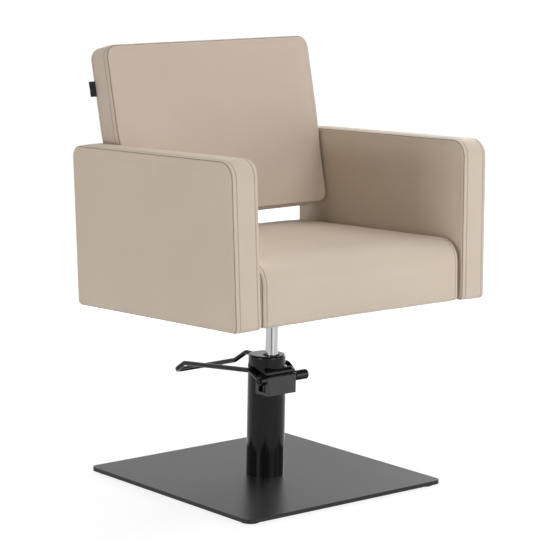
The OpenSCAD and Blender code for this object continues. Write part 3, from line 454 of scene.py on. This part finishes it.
# %% Group: paint skin
paint_group, into, out = new_group(
    "paint_skin", [WHERE, ("Ripples per metre", "Float", 300.0)], ["Height", "Dust"])
ripples = add(paint_group, "TexNoise", Vector=into["Where"], Scale=into["Ripples per metre"], Detail=1.0)
dust = add(paint_group, "TexNoise", Vector=into["Where"], Scale=1200.0, Detail=2.0)
plug(paint_group, out["Height"], ripples.outputs[0])
plug(paint_group, out["Dust"], ranged(paint_group, dust.outputs[0], 0.62, 0.75))
print(paint_group.name, "made of", len(paint_group.nodes), "nodes")

# %% [markdown]
# ## Finishes
#
# Artificial leather first: a warm beige with a soft sheen. Its colour is a little darker in the seams'
# valleys: painted shade, where the light doesn't reach. The seams' distance comes from the attributes that
# the pattern kept. The sewing thread is a little darker than the cover.

# %% Artificial leather
CELLS = 1400.0


def leather(name, colour, dark):
    """Colour runs to dark in the clouds and pores. As painted shade in the seams' valleys, it runs to a third
    of dark where the distance to a seam or a topstitch is under 1.7 or 1.5 mm."""
    material, tree, surface, where = new_material(
        name, Specular_IOR_Level=0.3, Sheen_Weight=0.06, Sheen_Roughness=0.4)
    tone = placed(tree, tone_group, Where=where, Clouds_per_metre=5.0, Specks_per_metre=900.0).outputs
    grain = placed(tree, grain_group, Where=where, Cells_per_metre=CELLS).outputs
    seam = add(tree, "Attribute", {"attribute_name": "seam_gap"}).outputs["Fac"]
    sew = add(tree, "Attribute", {"attribute_name": "sew_gap"}).outputs["Fac"]
    base = mixed(tree, maths(tree, "MULTIPLY", tone["Clouds"], 0.35), colour, dark)
    base = mixed(tree, maths(tree, "MULTIPLY", grain["Pores"], 0.25), base, dark)
    # painted shade: the colour runs darker in the valleys of the seams and the topstitches
    seam_painted_shade = ranged(tree, seam, 0.2, 1.7, 0.8, 0.0)
    sew_painted_shade = ranged(tree, sew, 0.2, 1.5, 0.5, 0.0)
    painted_valley_shade = maths(tree, "MAXIMUM", seam_painted_shade, sew_painted_shade)
    plug(tree, surface["Base Color"], mixed(tree, painted_valley_shade, base, tuple(0.3 * c for c in dark)))
    plug(tree, surface["Roughness"], ranged(tree, tone["Specks"], 0, 1, 0.5, 0.62))
    plug(tree, surface["Normal"], embossed(tree, 0.12, 0.0002, grain["Height"]))
    return material


seat_leather = leather("leather_seat", srgb(212, 197, 180), srgb(199, 183, 166))
# The back's leather is the seat's leather a little darker: painted shade on the back cushion.
shaded_back_leather = leather("leather_back", srgb(206, 190, 175), srgb(193, 176, 161))
thread, tree, surface, where = new_material("sewing_thread", Roughness=0.6, Sheen_Weight=0.15)
twist = add(tree, "TexNoise", Vector=where, Scale=2500.0, Detail=2.0).outputs[0]
plug(tree, surface["Base Color"], mixed(tree, twist, srgb(186, 168, 150), srgb(160, 142, 125)))
print("leather made, grain cells about", round(1000 / CELLS, 2), "mm")

# %% [markdown]
# Most metals, paints, plastics and timber are carried over from CAD unchanged in shape, so all their
# character is here. The paints differ in gloss and in their orange peel: wet gloss enamel on the column and
# the lever, satin powder coat on the plate, and dull moulded rubber and plastic. A few pale specks are dust.

# %% Paints
def paint(name, colour, rough, ripple, peel=300.0, gloss=0.5):
    """Colour runs to 1.25 times itself in the clouds, and the roughness is within 12 % of rough. The peel has
    so many ripples per metre, embossed with the strength ripple."""
    material, tree, surface, where = new_material(name, Specular_IOR_Level=gloss)
    tone = placed(tree, tone_group, Where=where, Clouds_per_metre=7.0, Specks_per_metre=600.0).outputs
    skin = placed(tree, paint_group, Where=where, Ripples_per_metre=peel).outputs
    lighter = tuple(1.25 * c + 0.001 for c in colour)
    base = mixed(tree, tone["Clouds"], colour, lighter)
    dusty = maths(tree, "MULTIPLY", skin["Dust"], 0.15)
    plug(tree, surface["Base Color"], mixed(tree, dusty, base, (0.35, 0.34, 0.33)))
    plug(tree, surface["Roughness"], ranged(tree, tone["Specks"], 0, 1, rough * 0.9, rough * 1.12))
    plug(tree, surface["Normal"], embossed(tree, ripple, 0.0003, skin["Height"]))
    return material


finish = {
    "plate_paint": paint("plate_paint", srgb(24, 24, 25), 0.34, 0.05, peel=900.0, gloss=0.3),
    "column_black": paint("column_black", srgb(8, 8, 9), 0.1, 0.03, gloss=0.2),
    "block_black": paint("block_black", srgb(30, 30, 31), 0.3, 0.12, peel=500.0),
    "lid_black": paint("lid_black", srgb(9, 9, 10), 0.16, 0.05, gloss=0.15),
    "lever_black": paint("lever_black", srgb(9, 9, 10), 0.12, 0.04, gloss=0.25),
    "mount_black": paint("mount_black", srgb(40, 40, 41), 0.5, 0.12, peel=900.0),
    "rubber_black": paint("rubber_black", srgb(26, 26, 26), 0.7, 0.1, peel=1500.0),
    "glide_plastic": paint("glide_plastic", srgb(12, 12, 12), 0.5, 0.08, peel=1200.0, gloss=0.3),
}
print(len(finish), "painted or moulded finishes")

# %% [markdown]
# Bare metal is all reflection, so its colour is that of the reflection. The rod is chromed and polished, and
# what a lathe or a grinding wheel has cut keeps fine rings: a noise squeezed along one axis.

# %% Metals
def metal(name, colour, rough, lines, axis=2):
    """Bare metal. Colour runs to 0.8 of itself in the clouds, and the rings lie across the given axis."""
    material, tree, surface, where = new_material(name, Metallic=1.0)
    tone = placed(tree, tone_group, Where=where, Clouds_per_metre=15.0, Specks_per_metre=900.0).outputs
    darker = tuple(0.8 * c for c in colour)
    cloudy = maths(tree, "MULTIPLY", tone["Clouds"], 0.6)
    plug(tree, surface["Base Color"], mixed(tree, cloudy, colour, darker))
    plug(tree, surface["Roughness"], ranged(tree, tone["Specks"], 0, 1, rough * 0.8, rough * 1.2))
    squeeze = [4.0, 4.0, 4.0]
    squeeze[axis] = 2500.0
    stretched = add(tree, "Mapping", Vector=where, Scale=tuple(squeeze)).outputs[0]
    rings = add(tree, "TexNoise", Vector=stretched, Scale=1.0, Detail=2.0).outputs[0]
    plug(tree, surface["Normal"], embossed(tree, lines, 0.0001, rings))
    return material


finish.update({
    "chrome": metal("chrome", (0.46, 0.47, 0.48), 0.06, 0.02),
    "steel": metal("steel", (0.42, 0.42, 0.43), 0.28, 0.25),
    "fixing_zinc": metal("fixing_zinc", (0.5, 0.5, 0.49), 0.33, 0.08),
    "fixing_black": metal("fixing_black", (0.045, 0.045, 0.047), 0.35, 0.08, axis=0),
    "bush_bronze": metal("bush_bronze", (0.2, 0.15, 0.1), 0.35, 0.2),
    "oiled_steel": metal("oiled_steel", (0.03, 0.03, 0.03), 0.45, 0.2),
})
print(len(finish), "finishes so far")

# %% [markdown]
# The timber frames, the boards and the black lining under the seat hardly show, but they are finished like
# the rest. The tag is woven too. Every node then gets the finish of its own slot, apart from four pieces: the
# pump's plunger, spring and sleeve are steel blackened by oil, and the block's lid is glossier than the
# block.

# %% Timber, board and lining
def timber(name, pale, brown, along):
    """Planed wood: rings are a noise stretched along the grain, with fine pores between them."""
    material, tree, surface, where = new_material(name, Roughness=0.62)
    stretch = [60.0, 60.0, 60.0]
    stretch[along] = 3.0
    at_rings = add(tree, "Mapping", Vector=where, Scale=tuple(stretch)).outputs[0]
    at_pores = add(tree, "Mapping", Vector=where, Scale=tuple(12 * s for s in stretch)).outputs[0]
    grain = add(tree, "TexNoise", Vector=at_rings, Scale=1.0, Detail=5.0, Distortion=1.2).outputs[0]
    pores = add(tree, "TexNoise", Vector=at_pores, Scale=1.0, Detail=2.0).outputs[0]
    base = mixed(tree, ranged(tree, grain, 0.35, 0.65), pale, brown)
    in_pores = ranged(tree, pores, 0.6, 0.8, 0, 0.5)
    plug(tree, surface["Base Color"], mixed(tree, in_pores, base, tuple(0.5 * c for c in brown)))
    plug(tree, surface["Normal"], embossed(tree, 0.3, 0.0003, grain))
    return material


def woven(name, colour, threads):
    """Plain cloth: two waves of threads, crossed, so that the colour is brightest where both are high."""
    material, tree, surface, where = new_material(name, Roughness=0.9, Sheen_Weight=0.2)
    warp, weft = (add(tree, "TexWave", {"bands_direction": way}, Vector=where, Scale=threads, Distortion=0.4)
                  for way in "YZ")
    height = maths(tree, "MULTIPLY", warp.outputs[1], weft.outputs[1])
    low, high = tuple(0.5 * c for c in colour), tuple(1.8 * c for c in colour)
    plug(tree, surface["Base Color"], mixed(tree, height, low, high))
    plug(tree, surface["Normal"], embossed(tree, 0.6, 0.0003, height))
    return material


finish.update({
    "timber": timber("timber", srgb(214, 186, 148), srgb(186, 152, 110), 1),
    "board": timber("board", srgb(200, 170, 130), srgb(172, 138, 98), 0),
    "lining_cloth": woven("lining_cloth", srgb(40, 40, 41), 500.0),
    "tag_cloth": woven("tag_cloth", srgb(30, 30, 32), 700.0),
    "leather_seat": seat_leather, "leather_back": shaded_back_leather,
})
unlike = {name: "oiled_steel" for name in ("pump_plunger", "plunger_spring", "plunger_sleeve")}
unlike["block_cover"] = "lid_black"
for name, piece in nodes.items():
    slot = piece.data.materials[0].name.split(".")[0]
    piece.data.materials[0] = finish[unlike.get(name, slot)]
    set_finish(piece, slot)
print("finishes in use:", len({piece.data.materials[0].name for piece in nodes.values()}))

# %% [markdown]
# ## Air in the cushions
#
# A cushion gets its fullness from foam that pushes against a cover which is held at its seams. The cloth
# simulation does just that: a coarse copy of the pattern is pinned along both seams and blown up with a
# little pressure, without gravity. How far each point moved is capped, so that the foam looks firm, and the
# movement is then handed to the fine mesh. Both meshes have the same stations and panels, so it has to be
# worked out only for the rows of the band that the coarse one leaves out.

# %% Blow up a coarse copy
STEPS, PRESSURE, STIFFNESS = 20, 4.0, 30.0
# Rows nearer to a seam than this are pinned, in mm.
AT_SEAM = 0.3


def air(points, faces, pinned, cap):
    """Movement in mm of each point after all steps. A movement's length d becomes cap * d / (cap + d)."""
    piece = as_mesh("trial", points, faces)
    piece.vertex_groups.new(name="seams").add(pinned.tolist(), 1.0, "ADD")
    cloth = piece.modifiers.new("cloth", "CLOTH")
    sets = cloth.settings
    sets.quality, sets.mass, sets.air_damping = 6, 0.3, 5.0
    sets.tension_stiffness = sets.compression_stiffness = sets.shear_stiffness = STIFFNESS
    sets.bending_stiffness = 2.0
    sets.use_pressure, sets.uniform_pressure_force = True, PRESSURE
    sets.vertex_group_mass = "seams"
    sets.effector_weights.gravity = 0.0
    cloth.point_cache.frame_start, cloth.point_cache.frame_end = 1, STEPS
    for step in range(1, STEPS + 1):
        bpy.context.scene.frame_set(step)
    moved = np.empty(len(points) * 3, np.float32)
    piece.evaluated_get(bpy.context.evaluated_depsgraph_get()).data.vertices.foreach_get("co", moved)
    bpy.data.objects.remove(piece)
    bpy.context.scene.frame_set(1)
    shift = moved.reshape(-1, 3) / MM - points
    length = np.linalg.norm(shift, axis=1, keepdims=True)
    return shift * cap / (cap + length)


def filled(shape, cap):
    """The fine cushion of a shape, moved as its coarse copy was by the air."""
    points, faces, table = cushion_shape(**shape)
    rough, rough_faces, rough_table = cushion_shape(**shape, coarse=True)
    rows, few, stations = table["rows"], rough_table["rows"], table["stations"]
    pinned = np.flatnonzero(rough_table["seam_gap"] < AT_SEAM)
    shift = air(rough, rough_faces, pinned, cap)
    place = np.interp(rows, few, np.arange(len(few)))
    low = np.floor(place).astype(int).clip(0, len(few) - 2)
    share = (place - low)[None, :, None]
    strip = shift[:stations * len(few)].reshape(stations, len(few), 3)
    strip = strip[:, low] * (1 - share) + strip[:, low + 1] * share
    points = points + np.vstack([strip.reshape(-1, 3), shift[stations * len(few):]])
    print("   air moved it by up to", round(float(np.linalg.norm(shift, axis=1).max()), 1), "mm")
    return points, faces, table


print("pressure", PRESSURE, "without gravity in", STEPS, "steps")

# %% [markdown]
# ## The four cushions
#
# Sizes follow the CAD solids that the cushions stand for. The arms' panels lie at their sides: a is Y, b is Z
# and c is X. The seat, arms and back are tipped back together by 2.4 degrees, and the back leans by another
# 11.2 about its foot. The back cushion is squeezed between the arms: it spreads a little above them and
# pushes their tops outwards by 1.2 degrees.

# %% Turning points, and dressing a cushion
SEAT_Z, TIP, LEAN, SPLAY = 371.0, np.radians(2.4), np.radians(11.2), np.radians(1.2)
BACK_FOOT = np.array([0, 119.0, 533.0])


def turned(points, axis, angle, centre):
    """Points turned about the axis x or y through a centre: the usual two sums of sine and cosine."""
    i, j = {"x": (1, 2), "y": (0, 2)}[axis]
    out, d = points.copy(), points - centre
    out[:, i] = centre[i] + d[:, i] * np.cos(angle) + d[:, j] * np.sin(angle)
    out[:, j] = centre[j] - d[:, i] * np.sin(angle) + d[:, j] * np.cos(angle)
    return out


def tipped(points):
    """Points of the level seat, tipped back with it."""
    return turned(points, "x", TIP, np.array([0, 0, SEAT_Z]))


def upholster(name, points, faces, table, skin, stands_for):
    """The finished cushion as a piece: attributes for the material, one subdivision, and its stand-in."""
    piece = as_mesh(name, tipped(points), faces)
    for label in ("seam_gap", "sew_gap"):
        gap = piece.data.attributes.new(label, "FLOAT", "POINT")
        gap.data.foreach_set("value", table[label].astype(np.float32))
    rounder = piece.modifiers.new("rounder", "SUBSURF")
    rounder.levels = rounder.render_levels = 1
    piece.data.materials.append(skin)
    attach(piece, "seat")
    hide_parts(stands_for)
    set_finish(piece, skin.name.split(".")[0])
    print(name, len(points), "points, box", np.round(points.min(0)), np.round(points.max(0)))
    return piece


print("the seat tips about the height", SEAT_Z, "and the back leans about", BACK_FOOT)

# %% Arms
arm = {"half": (245.5, 156.75, 31.0), "radii": [10, 10, 22, 32], "edge": 5, "stitch": 9,
       "crown": (0.5, 0.5), "bow": 0.5}
ARM_MIDDLE = np.array([288.0, -28.0, 524.75])
sewn = {}
arm_points, faces, table = filled(arm, cap=3.0)
for side, way in (("left", 1), ("right", -1)):
    middle = ARM_MIDDLE * [way, 1, 1]
    points = turned(arm_points[:, [2, 0, 1]] + middle, "y", way * SPLAY, middle)
    name = "arm_upholstery_" + side
    sewn[name] = upholster(name, points, faces, table, seat_leather, "arm_pad_" + side), table

# %% Seat, whose top is crowned by another 4 mm
seat = {"half": (236.5, 61.0, 251.0), "radii": [8, 8, 20, 42], "edge": 8, "stitch": 9,
        "crown": (0.5, 0.5), "bow": 0.5}
SEAT_MIDDLE, SEAT_CROWN = np.array([0, -33.0, SEAT_Z + 59.0]), 4
points, faces, table = filled(seat, cap=4.0)
a, b, c = (points[:, k] / seat["half"][k] for k in range(3))
points[:, 1] += SEAT_CROWN * b.clip(0, 1) ** 4 * (1 - c ** 2).clip(0) * (1 - np.abs(a) ** 4).clip(0)
points = points[:, [2, 0, 1]] + SEAT_MIDDLE
name = "seat_upholstery"
sewn[name] = upholster(name, points, faces, table, seat_leather, "seat_cushion"), table

# %% Back, which spreads by 5 mm over 110 mm of its height
back = {"half": (254.0, 173.5, 29.0), "radii": [24] * 4, "edge": 7, "stitch": 9,
        "crown": (1.0, 2.0), "bow": 0.5}
SPREAD, SPREAD_FROM, SPREAD_OVER = 5, -90, 110
half_a, half_b, half_c = back["half"]
points, faces, table = filled(back, cap=6.0)
# Each side edge moves out by SPREAD * (3 s^2 - 2 s^3), where s runs from 0 to 1 up the back.
share = ((points[:, 1] - SPREAD_FROM) / SPREAD_OVER).clip(0, 1)
points[:, 0] *= 1 + SPREAD / half_a * share ** 2 * (3 - 2 * share)
points = turned(points[:, [0, 2, 1]] + (BACK_FOOT + [0, half_c, half_b]), "x", LEAN, BACK_FOOT)
name = "back_upholstery"
sewn[name] = upholster(name, points, faces, table, shaded_back_leather, "back_cushion"), table

# %% [markdown]
# ## Topstitching
#
# A real topstitch is a row of separate loops: each comes up out of a needle hole, lies on the leather for
# three millimetres and dives into the next hole. So each stitch here is a short bent bar. One array holds
# them all: the row's path is cut at equal steps, and every bar has five rings of six points, so thousands of
# them cost little.

# %% A row of stitches
# Each end of a bar has six points, closed by two faces.
BAR_RINGS, BAR_SIDES = 5, 6
BAR_ENDS = [[0, 1, 2, 3], [0, 3, 4, 5], [27, 26, 25, 24], [29, 28, 27, 24]]
BAR_FACES = np.vstack([grid_faces(BAR_RINGS, BAR_SIDES, close_columns=True), BAR_ENDS])


def unit(vectors):
    """Vectors of length 1."""
    return vectors / np.linalg.norm(vectors, axis=-1, keepdims=True)


def stitched(path, outward, pitch=4.2, length=3.2, radius=0.42, rise=0.55, sink=0.35):
    """Bars along a closed path: ring t of a bar lies at arc length s + (t - 1/2) * length and by
    rise * sin(pi t) - sink out of the leather, and its points lie round that by
    radius * (cos u * sideways + sin u * out)."""
    closed = np.vstack([path, path[:1]])
    run = np.concatenate([[0], np.cumsum(np.linalg.norm(np.diff(closed, axis=0), axis=1))])
    count = int(run[-1] / pitch)
    t = np.linspace(0, 1, BAR_RINGS)
    s = (np.arange(count)[:, None] / count * run[-1] + (t[None] - 0.5) * length) % run[-1]

    def follow(values):
        """Values of the path's points at the arc lengths s."""
        return np.stack([np.interp(s, run, np.append(values[:, k], values[0, k])) for k in range(3)], -1)

    out = unit(follow(outward))
    centre = follow(path) + out * (rise * np.sin(np.pi * t) - sink)[None, :, None]
    side = unit(np.cross(np.gradient(centre, axis=1), out))
    u = (np.arange(BAR_SIDES) * 2 * np.pi / BAR_SIDES)[:, None]
    points = centre[:, :, None] + radius * (np.cos(u) * side[:, :, None] + np.sin(u) * out[:, :, None])
    faces = BAR_FACES[None] + BAR_RINGS * BAR_SIDES * np.arange(count)[:, None, None]
    return points.reshape(-1, 3), faces.reshape(-1, 4)


def topstitch(name, cushion, table):
    """Both rows of a sewn cushion. Outwards is across x along, turned away from the cushion's middle."""
    stations, across = table["stations"], len(table["rows"])
    points = np.empty(len(cushion.data.vertices) * 3, np.float32)
    cushion.data.vertices.foreach_get("co", points)
    points = points.reshape(-1, 3).astype(float) / MM
    strip, middle = points[:stations * across].reshape(stations, across, 3), points.mean(0)
    parts = []
    for row in table["sew_rows"]:
        path = strip[:, row]
        along = np.roll(path, -1, 0) - np.roll(path, 1, 0)
        out = unit(np.cross(along, strip[:, row + 3] - strip[:, row - 3]))
        out *= np.sign(((path - middle) * out).sum(1).mean())
        parts.append(stitched(path, out))
    points, faces = joined(parts)
    piece = as_mesh(name, points, faces)
    piece.data.materials.append(thread)
    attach(piece, "seat")
    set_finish(piece, cushion["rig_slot"])
    print(name, "has", len(faces) // len(BAR_FACES), "stitches")


for name, (cushion, table) in sewn.items():
    topstitch(name.replace("upholstery", "topstitching"), cushion, table)

# %% [markdown]
# ## The side tag
#
# The small black tag is a piece of woven ribbon, folded once and caught in the back's side seam. It is left
# blank. The surface is a flat loop, carried up the ribbon's width, and it bends a little to the rear as it
# leaves the seam.

# %% A folded ribbon
def ribbon(reach, width, thick, bend):
    """Ring point u of the flat loop runs out along the front, round the fold and back along the rear. Row t
    stands at t * width. The bend is (x / reach) squared, and a ripple of 0.25 sin(3 pi t) grows with x."""
    flat = np.linspace(0, reach - thick / 2, 10)[:-1]
    front = np.stack([flat, np.full(9, -thick / 2)], -1)
    turn = np.linspace(-np.pi / 2, np.pi / 2, 10)
    fold = np.stack([reach - thick / 2 + thick / 2 * np.cos(turn), thick / 2 * np.sin(turn)], -1)
    ring = np.vstack([front, fold, front[::-1] * [1, -1]])
    t = np.linspace(0, 1, 25)[:, None]
    x = np.broadcast_to(ring[:, 0], (len(t), len(ring)))
    y = ring[:, 1] + bend * (x / reach) ** 2 + 0.25 * np.sin(3 * np.pi * t) * (x / reach)
    z = np.broadcast_to(width * t, x.shape)
    return stacked(np.stack([x, y, z], -1))


points, faces = ribbon(reach=18.0, width=30.0, thick=1.3, bend=1.5)
points = points * [-1, 1, 1] + (BACK_FOOT + [-255.0, 50.0, 253.0])
tag = as_mesh("side_ribbon", tipped(turned(points, "x", LEAN, BACK_FOOT)), faces)
tag.data.materials.append(finish["tag_cloth"])
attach(tag, "seat")
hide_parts("side_tag")
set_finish(tag, "tag_cloth")
print("tag of", len(faces), "faces")

# %% [markdown]
# ## The plunger's spring
#
# The pump's spring has to close as the pedal goes down, which a rigid solid can't do. So the coil is wound
# again here, from the block's sleeve up to the plunger's head, as a still mesh in place of the CAD one.

# %% A wound coil
def coil(centre, radius, wire, low, high, turns, sides=10, steps=28):
    """Station a: centre + radius (cos a, sin a), rising evenly from low to high. Each ring has its points at
    wire * (cos u * outwards + sin u * upwards), square to the wire."""
    a = np.linspace(0, 2 * np.pi * turns, turns * steps + 1)
    climb = (high - low) / (2 * np.pi * turns)
    outward = np.stack([np.cos(a), np.sin(a), 0 * a], -1)
    path = np.array([*centre, 0]) + radius * outward
    path[:, 2] = np.linspace(low, high, len(a))
    along = np.stack([-radius * np.sin(a), radius * np.cos(a), np.full(len(a), climb)], -1)
    upward = unit(np.cross(outward, along))
    u = np.linspace(0, 2 * np.pi, sides, endpoint=False)[None, :, None]
    return stacked(path[:, None] + wire * (np.cos(u) * outward[:, None] + np.sin(u) * upward[:, None]))


points, faces = coil((-26.25, -12.5), radius=4.25, wire=0.5, low=200.6, high=207.6, turns=3)
spring = as_mesh("return_spring", points, faces)
spring.data.materials.append(finish["oiled_steel"])
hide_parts("plunger_spring")
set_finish(spring, nodes["plunger_spring"]["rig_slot"])
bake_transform(spring)
print("a spring of", len(faces), "faces")

# %% [markdown]
# ## The lid with its hood
#
# On the photo a rounded hood, as long as the block is wide, rises from the block's lid above the pedal's
# shaft. Both are stacks of flat rings: the same rounded rectangle, taken smaller from ring to ring as it
# rises.

# %% Lid and hood
LID_HALF, LID_CORNER, LID_Y = (37, 19.25), 3.9, -16.25
LID_FOOT, LID_EDGE_FOOT, LID_EDGE = 219.0, 220.7, 1.2
HOOD_HALF, HOOD_CORNER, HOOD_Y = (36.4, 10.2), 4, -19.2
HOOD_FOOT, HOOD_RISE, HOOD_FULLNESS, HOOD_DRAWN_IN = 221.0, 11.8, 2.6, 5


def ring(half_a, half_b, radius, y, z):
    """The rounded rectangle of these halves, level at a height."""
    loop = outline(half_a, half_b, [min(radius, 0.95 * half_b)] * 4, side_a=24, side_b=8, arc=8)
    return np.column_stack([loop + [0, y], np.full(len(loop), z)])


def lid_ring(inset, z):
    """The lid's outline, taken smaller by an inset."""
    return ring(LID_HALF[0] - inset, LID_HALF[1] - inset, LID_CORNER, LID_Y, z)


def hood_ring(c):
    """The hood's ring where its depth is the share c. With the fullness p, it has then risen by
    (1 - c ** p) ** (1 / p) of its height."""
    risen = (1 - c ** HOOD_FULLNESS) ** (1 / HOOD_FULLNESS)
    half_a = HOOD_HALF[0] - HOOD_DRAWN_IN * (1 - c)
    return ring(half_a, HOOD_HALF[1] * c, HOOD_CORNER, HOOD_Y, HOOD_FOOT + HOOD_RISE * risen)


edge = np.linspace(0, np.pi / 2, 6)
rounded = [lid_ring(LID_EDGE * (1 - np.cos(e)), LID_EDGE_FOOT + LID_EDGE * np.sin(e)) for e in edge]
lid = stacked(np.array([lid_ring(0, LID_FOOT)] + rounded))
shares = np.cos(np.linspace(0, 1, 14) * np.pi / 2).clip(0.004, 1)
hood = stacked(np.array([hood_ring(c) for c in shares]))
points, faces = joined([lid, hood])
cover = as_mesh("lid_with_hood", points, faces)
cover.data.materials.append(finish["lid_black"])
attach(cover, "base")
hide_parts("block_cover")
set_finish(cover, nodes["block_cover"]["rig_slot"])
print("the hood rises to", round(float(points[:, 2].max()), 1), "mm")

# %% [markdown]
# ## Floor, light and camera
#
# The photo is a studio shot on white: no horizon, and only a breath of shadow. The floor is a pale sheet. The
# camera and reflections see it glow nearly white, a little less so round the chair, and the world is white
# for them too. To the lamps' light the floor is a plain pale sheet, and the world itself hardly shines.

# %% Floor
def seen(tree):
    """1 for what the camera, a reflection or a look through glass sees, and 0 for light on its way."""
    path = add(tree, "LightPath").outputs
    mirrored = maths(tree, "MAXIMUM", path["Is Glossy Ray"], path["Is Transmission Ray"])
    return maths(tree, "MAXIMUM", path["Is Camera Ray"], mirrored)


def chosen(tree, share, first, second):
    """Shader first where share is 0, second where it is 1."""
    node = add(tree, "MixShader", Fac=share)
    plug(tree, node.inputs[1], first)
    plug(tree, node.inputs[2], second)
    return node.outputs[0]


# The floor's glow near the chair and far from it, and the distances in metres between which it changes.
NEAR_GLOW, FAR_GLOW, NEAR, FAR = 0.86, 1.0, 0.5, 1.6
bpy.ops.mesh.primitive_plane_add(size=400)
floor = bpy.context.object
floor.name = "studio_floor"
floor.location.z = -0.0005
sheet = bpy.data.materials.new("floor_sheet")
sheet.use_nodes = True
tree = sheet.node_tree
tree.nodes.clear()
lit = add(tree, "BsdfDiffuse", Color=(0.8, 0.8, 0.8, 1)).outputs[0]
place = add(tree, "TexCoord").outputs["Object"]
away = add(tree, "VectorMath", {"operation": "LENGTH"}, Vector=place).outputs["Value"]
glow = add(tree, "Emission", Color=(1, 1, 1, 1), Strength=ranged(tree, away, NEAR, FAR, NEAR_GLOW, FAR_GLOW))
faint = add(tree, "BsdfDiffuse", Color=(0.24, 0.24, 0.24, 1))
half_lit = add(tree, "AddShader")
plug(tree, half_lit.inputs[0], glow.outputs[0])
plug(tree, half_lit.inputs[1], faint.outputs[0])
add(tree, "OutputMaterial", Surface=chosen(tree, seen(tree), lit, half_lit.outputs[0]))
floor.data.materials.append(sheet)
print("floor at z", floor.location.z)

# %% [markdown]
# Eight soft lamps stand round the chair, high and low. The one on the left is low, so that the near arm keeps
# its light off the seat.

# %% World and lamps
world = bpy.data.worlds.new("studio")
bpy.context.scene.world = world
world.use_nodes = True
tree = world.node_tree
tree.nodes.clear()
soft = add(tree, "Background", Color=(1, 1, 1, 1), Strength=0.06).outputs[0]
white = add(tree, "Background", Color=(1, 1, 1, 1), Strength=1.0).outputs[0]
add(tree, "OutputWorld", Surface=chosen(tree, seen(tree), soft, white))

# Each lamp's place and size in metres, and its power in watts. All are turned to the seat's height.
AIM = (0, 0, 0.5)
LAMPS = {
    "front_lamp": ((0.15, -3.65, 0.9), 2.0, 53),
    "front_right_lamp": ((2.4, -3.0, 0.8), 1.6, 21),
    "right_lamp": ((2.0, -0.8, 3.6), 1.6, 44),
    "top_lamp": ((0.0, 0.9, 3.6), 1.2, 22),
    "front_top_lamp": ((0.0, -2.2, 3.6), 1.8, 5),
    "rear_right_lamp": ((3.3, 1.2, 1.7), 1.6, 80),
    "rear_left_lamp": ((-2.2, 2.2, 3.0), 1.8, 12),
    "low_left_lamp": ((-3.9, -0.5, 0.45), 1.4, 68),
}


def lamp(name, place, size, watts):
    """A square soft lamp at a place, turned to the aim."""
    light = bpy.data.lights.new(name, "AREA")
    light.size, light.energy = size, watts
    holder = bpy.data.objects.new(name, light)
    holder.location = place
    holder.rotation_euler = (Vector(AIM) - Vector(place)).to_track_quat("-Z", "Y").to_euler()
    bpy.context.scene.collection.objects.link(holder)


for name, (place, size, watts) in LAMPS.items():
    lamp(name, place, size, watts)
print(len(LAMPS), "lamps")

# %% [markdown]
# Polished metal shows only what stands round it, so a chromed rod in a white room looks like flat grey card.
# A photographer sets up small cards beside the picture for it. Two low arcs stand in for them here, a dark
# one on the camera's side and a bright one to the right of it. They are painted reflections: only reflections
# see them, they cast no shadow and light nothing.

# %% Cards for the chrome
CARD_REACH, CARD_FOOT, CARD_HEIGHT = 1200, 2.0, 218


def card(name, middle, half_angle, strength):
    """A low arc round the chair: a point at the card's reach in each direction middle + v degrees, and a
    second one above it."""
    angle = np.radians(middle + np.linspace(-half_angle, half_angle, 13))
    foot = np.stack([CARD_REACH * np.sin(angle), -CARD_REACH * np.cos(angle), np.full(13, CARD_FOOT)], -1)
    points = np.stack([foot, foot + [0, 0, CARD_HEIGHT]], 1).reshape(-1, 3)
    piece = as_mesh(name, points, grid_faces(13, 2))
    shade = bpy.data.materials.new(name)
    shade.use_nodes = True
    tree = shade.node_tree
    tree.nodes.clear()
    # painted reflection: the card glows, but only reflections see it
    glow = add(tree, "Emission", Color=(1, 1, 1, 1), Strength=strength)
    add(tree, "OutputMaterial", Surface=glow.outputs[0])
    piece.data.materials.append(shade)
    piece.visible_camera = piece.visible_diffuse = piece.visible_shadow = False
    print(name, "of", 2 * half_angle, "degrees")


card("dark_card", -45.0, 9.0, 0.3)
card("bright_card", -2.0, 7.0, 1.9)

# %% [markdown]
# The camera's place, lens and small roll come from lining up the seat, the arms, the back and the plate with
# the photo. It is far away with a long lens, as in a catalogue picture. Its back vector points from the
# target to the camera, and a matrix of right, up and back turns it.

# %% Camera
TARGET, DISTANCE = np.array([-155.8, -204.7, 453.1]), 4528.4
turn, rise, roll = np.radians([-40.467, 10.212, 1.025])
back = np.array([np.sin(turn) * np.cos(rise), -np.cos(turn) * np.cos(rise), np.sin(rise)])
right = np.cross(-back, [0, 0, 1])
right /= np.linalg.norm(right)
up = np.cross(right, -back)
right, up = right * np.cos(roll) + up * np.sin(roll), up * np.cos(roll) - right * np.sin(roll)
camera = bpy.data.objects.new("camera", bpy.data.cameras.new("camera"))
camera.data.sensor_width, camera.data.lens = 36.0, 156.11
camera.data.clip_end = 1000.0
place = (TARGET + DISTANCE * back) * MM
camera.matrix_world = Matrix(np.vstack([np.column_stack([right, up, back, place]), [0, 0, 0, 1]]).tolist())
bpy.context.scene.collection.objects.link(camera)
bpy.context.scene.camera = camera
bpy.context.scene.view_settings.view_transform = "Standard"
print("camera at", np.round(place, 2))

# %% Close the frame
bpy.context.view_layer.update()
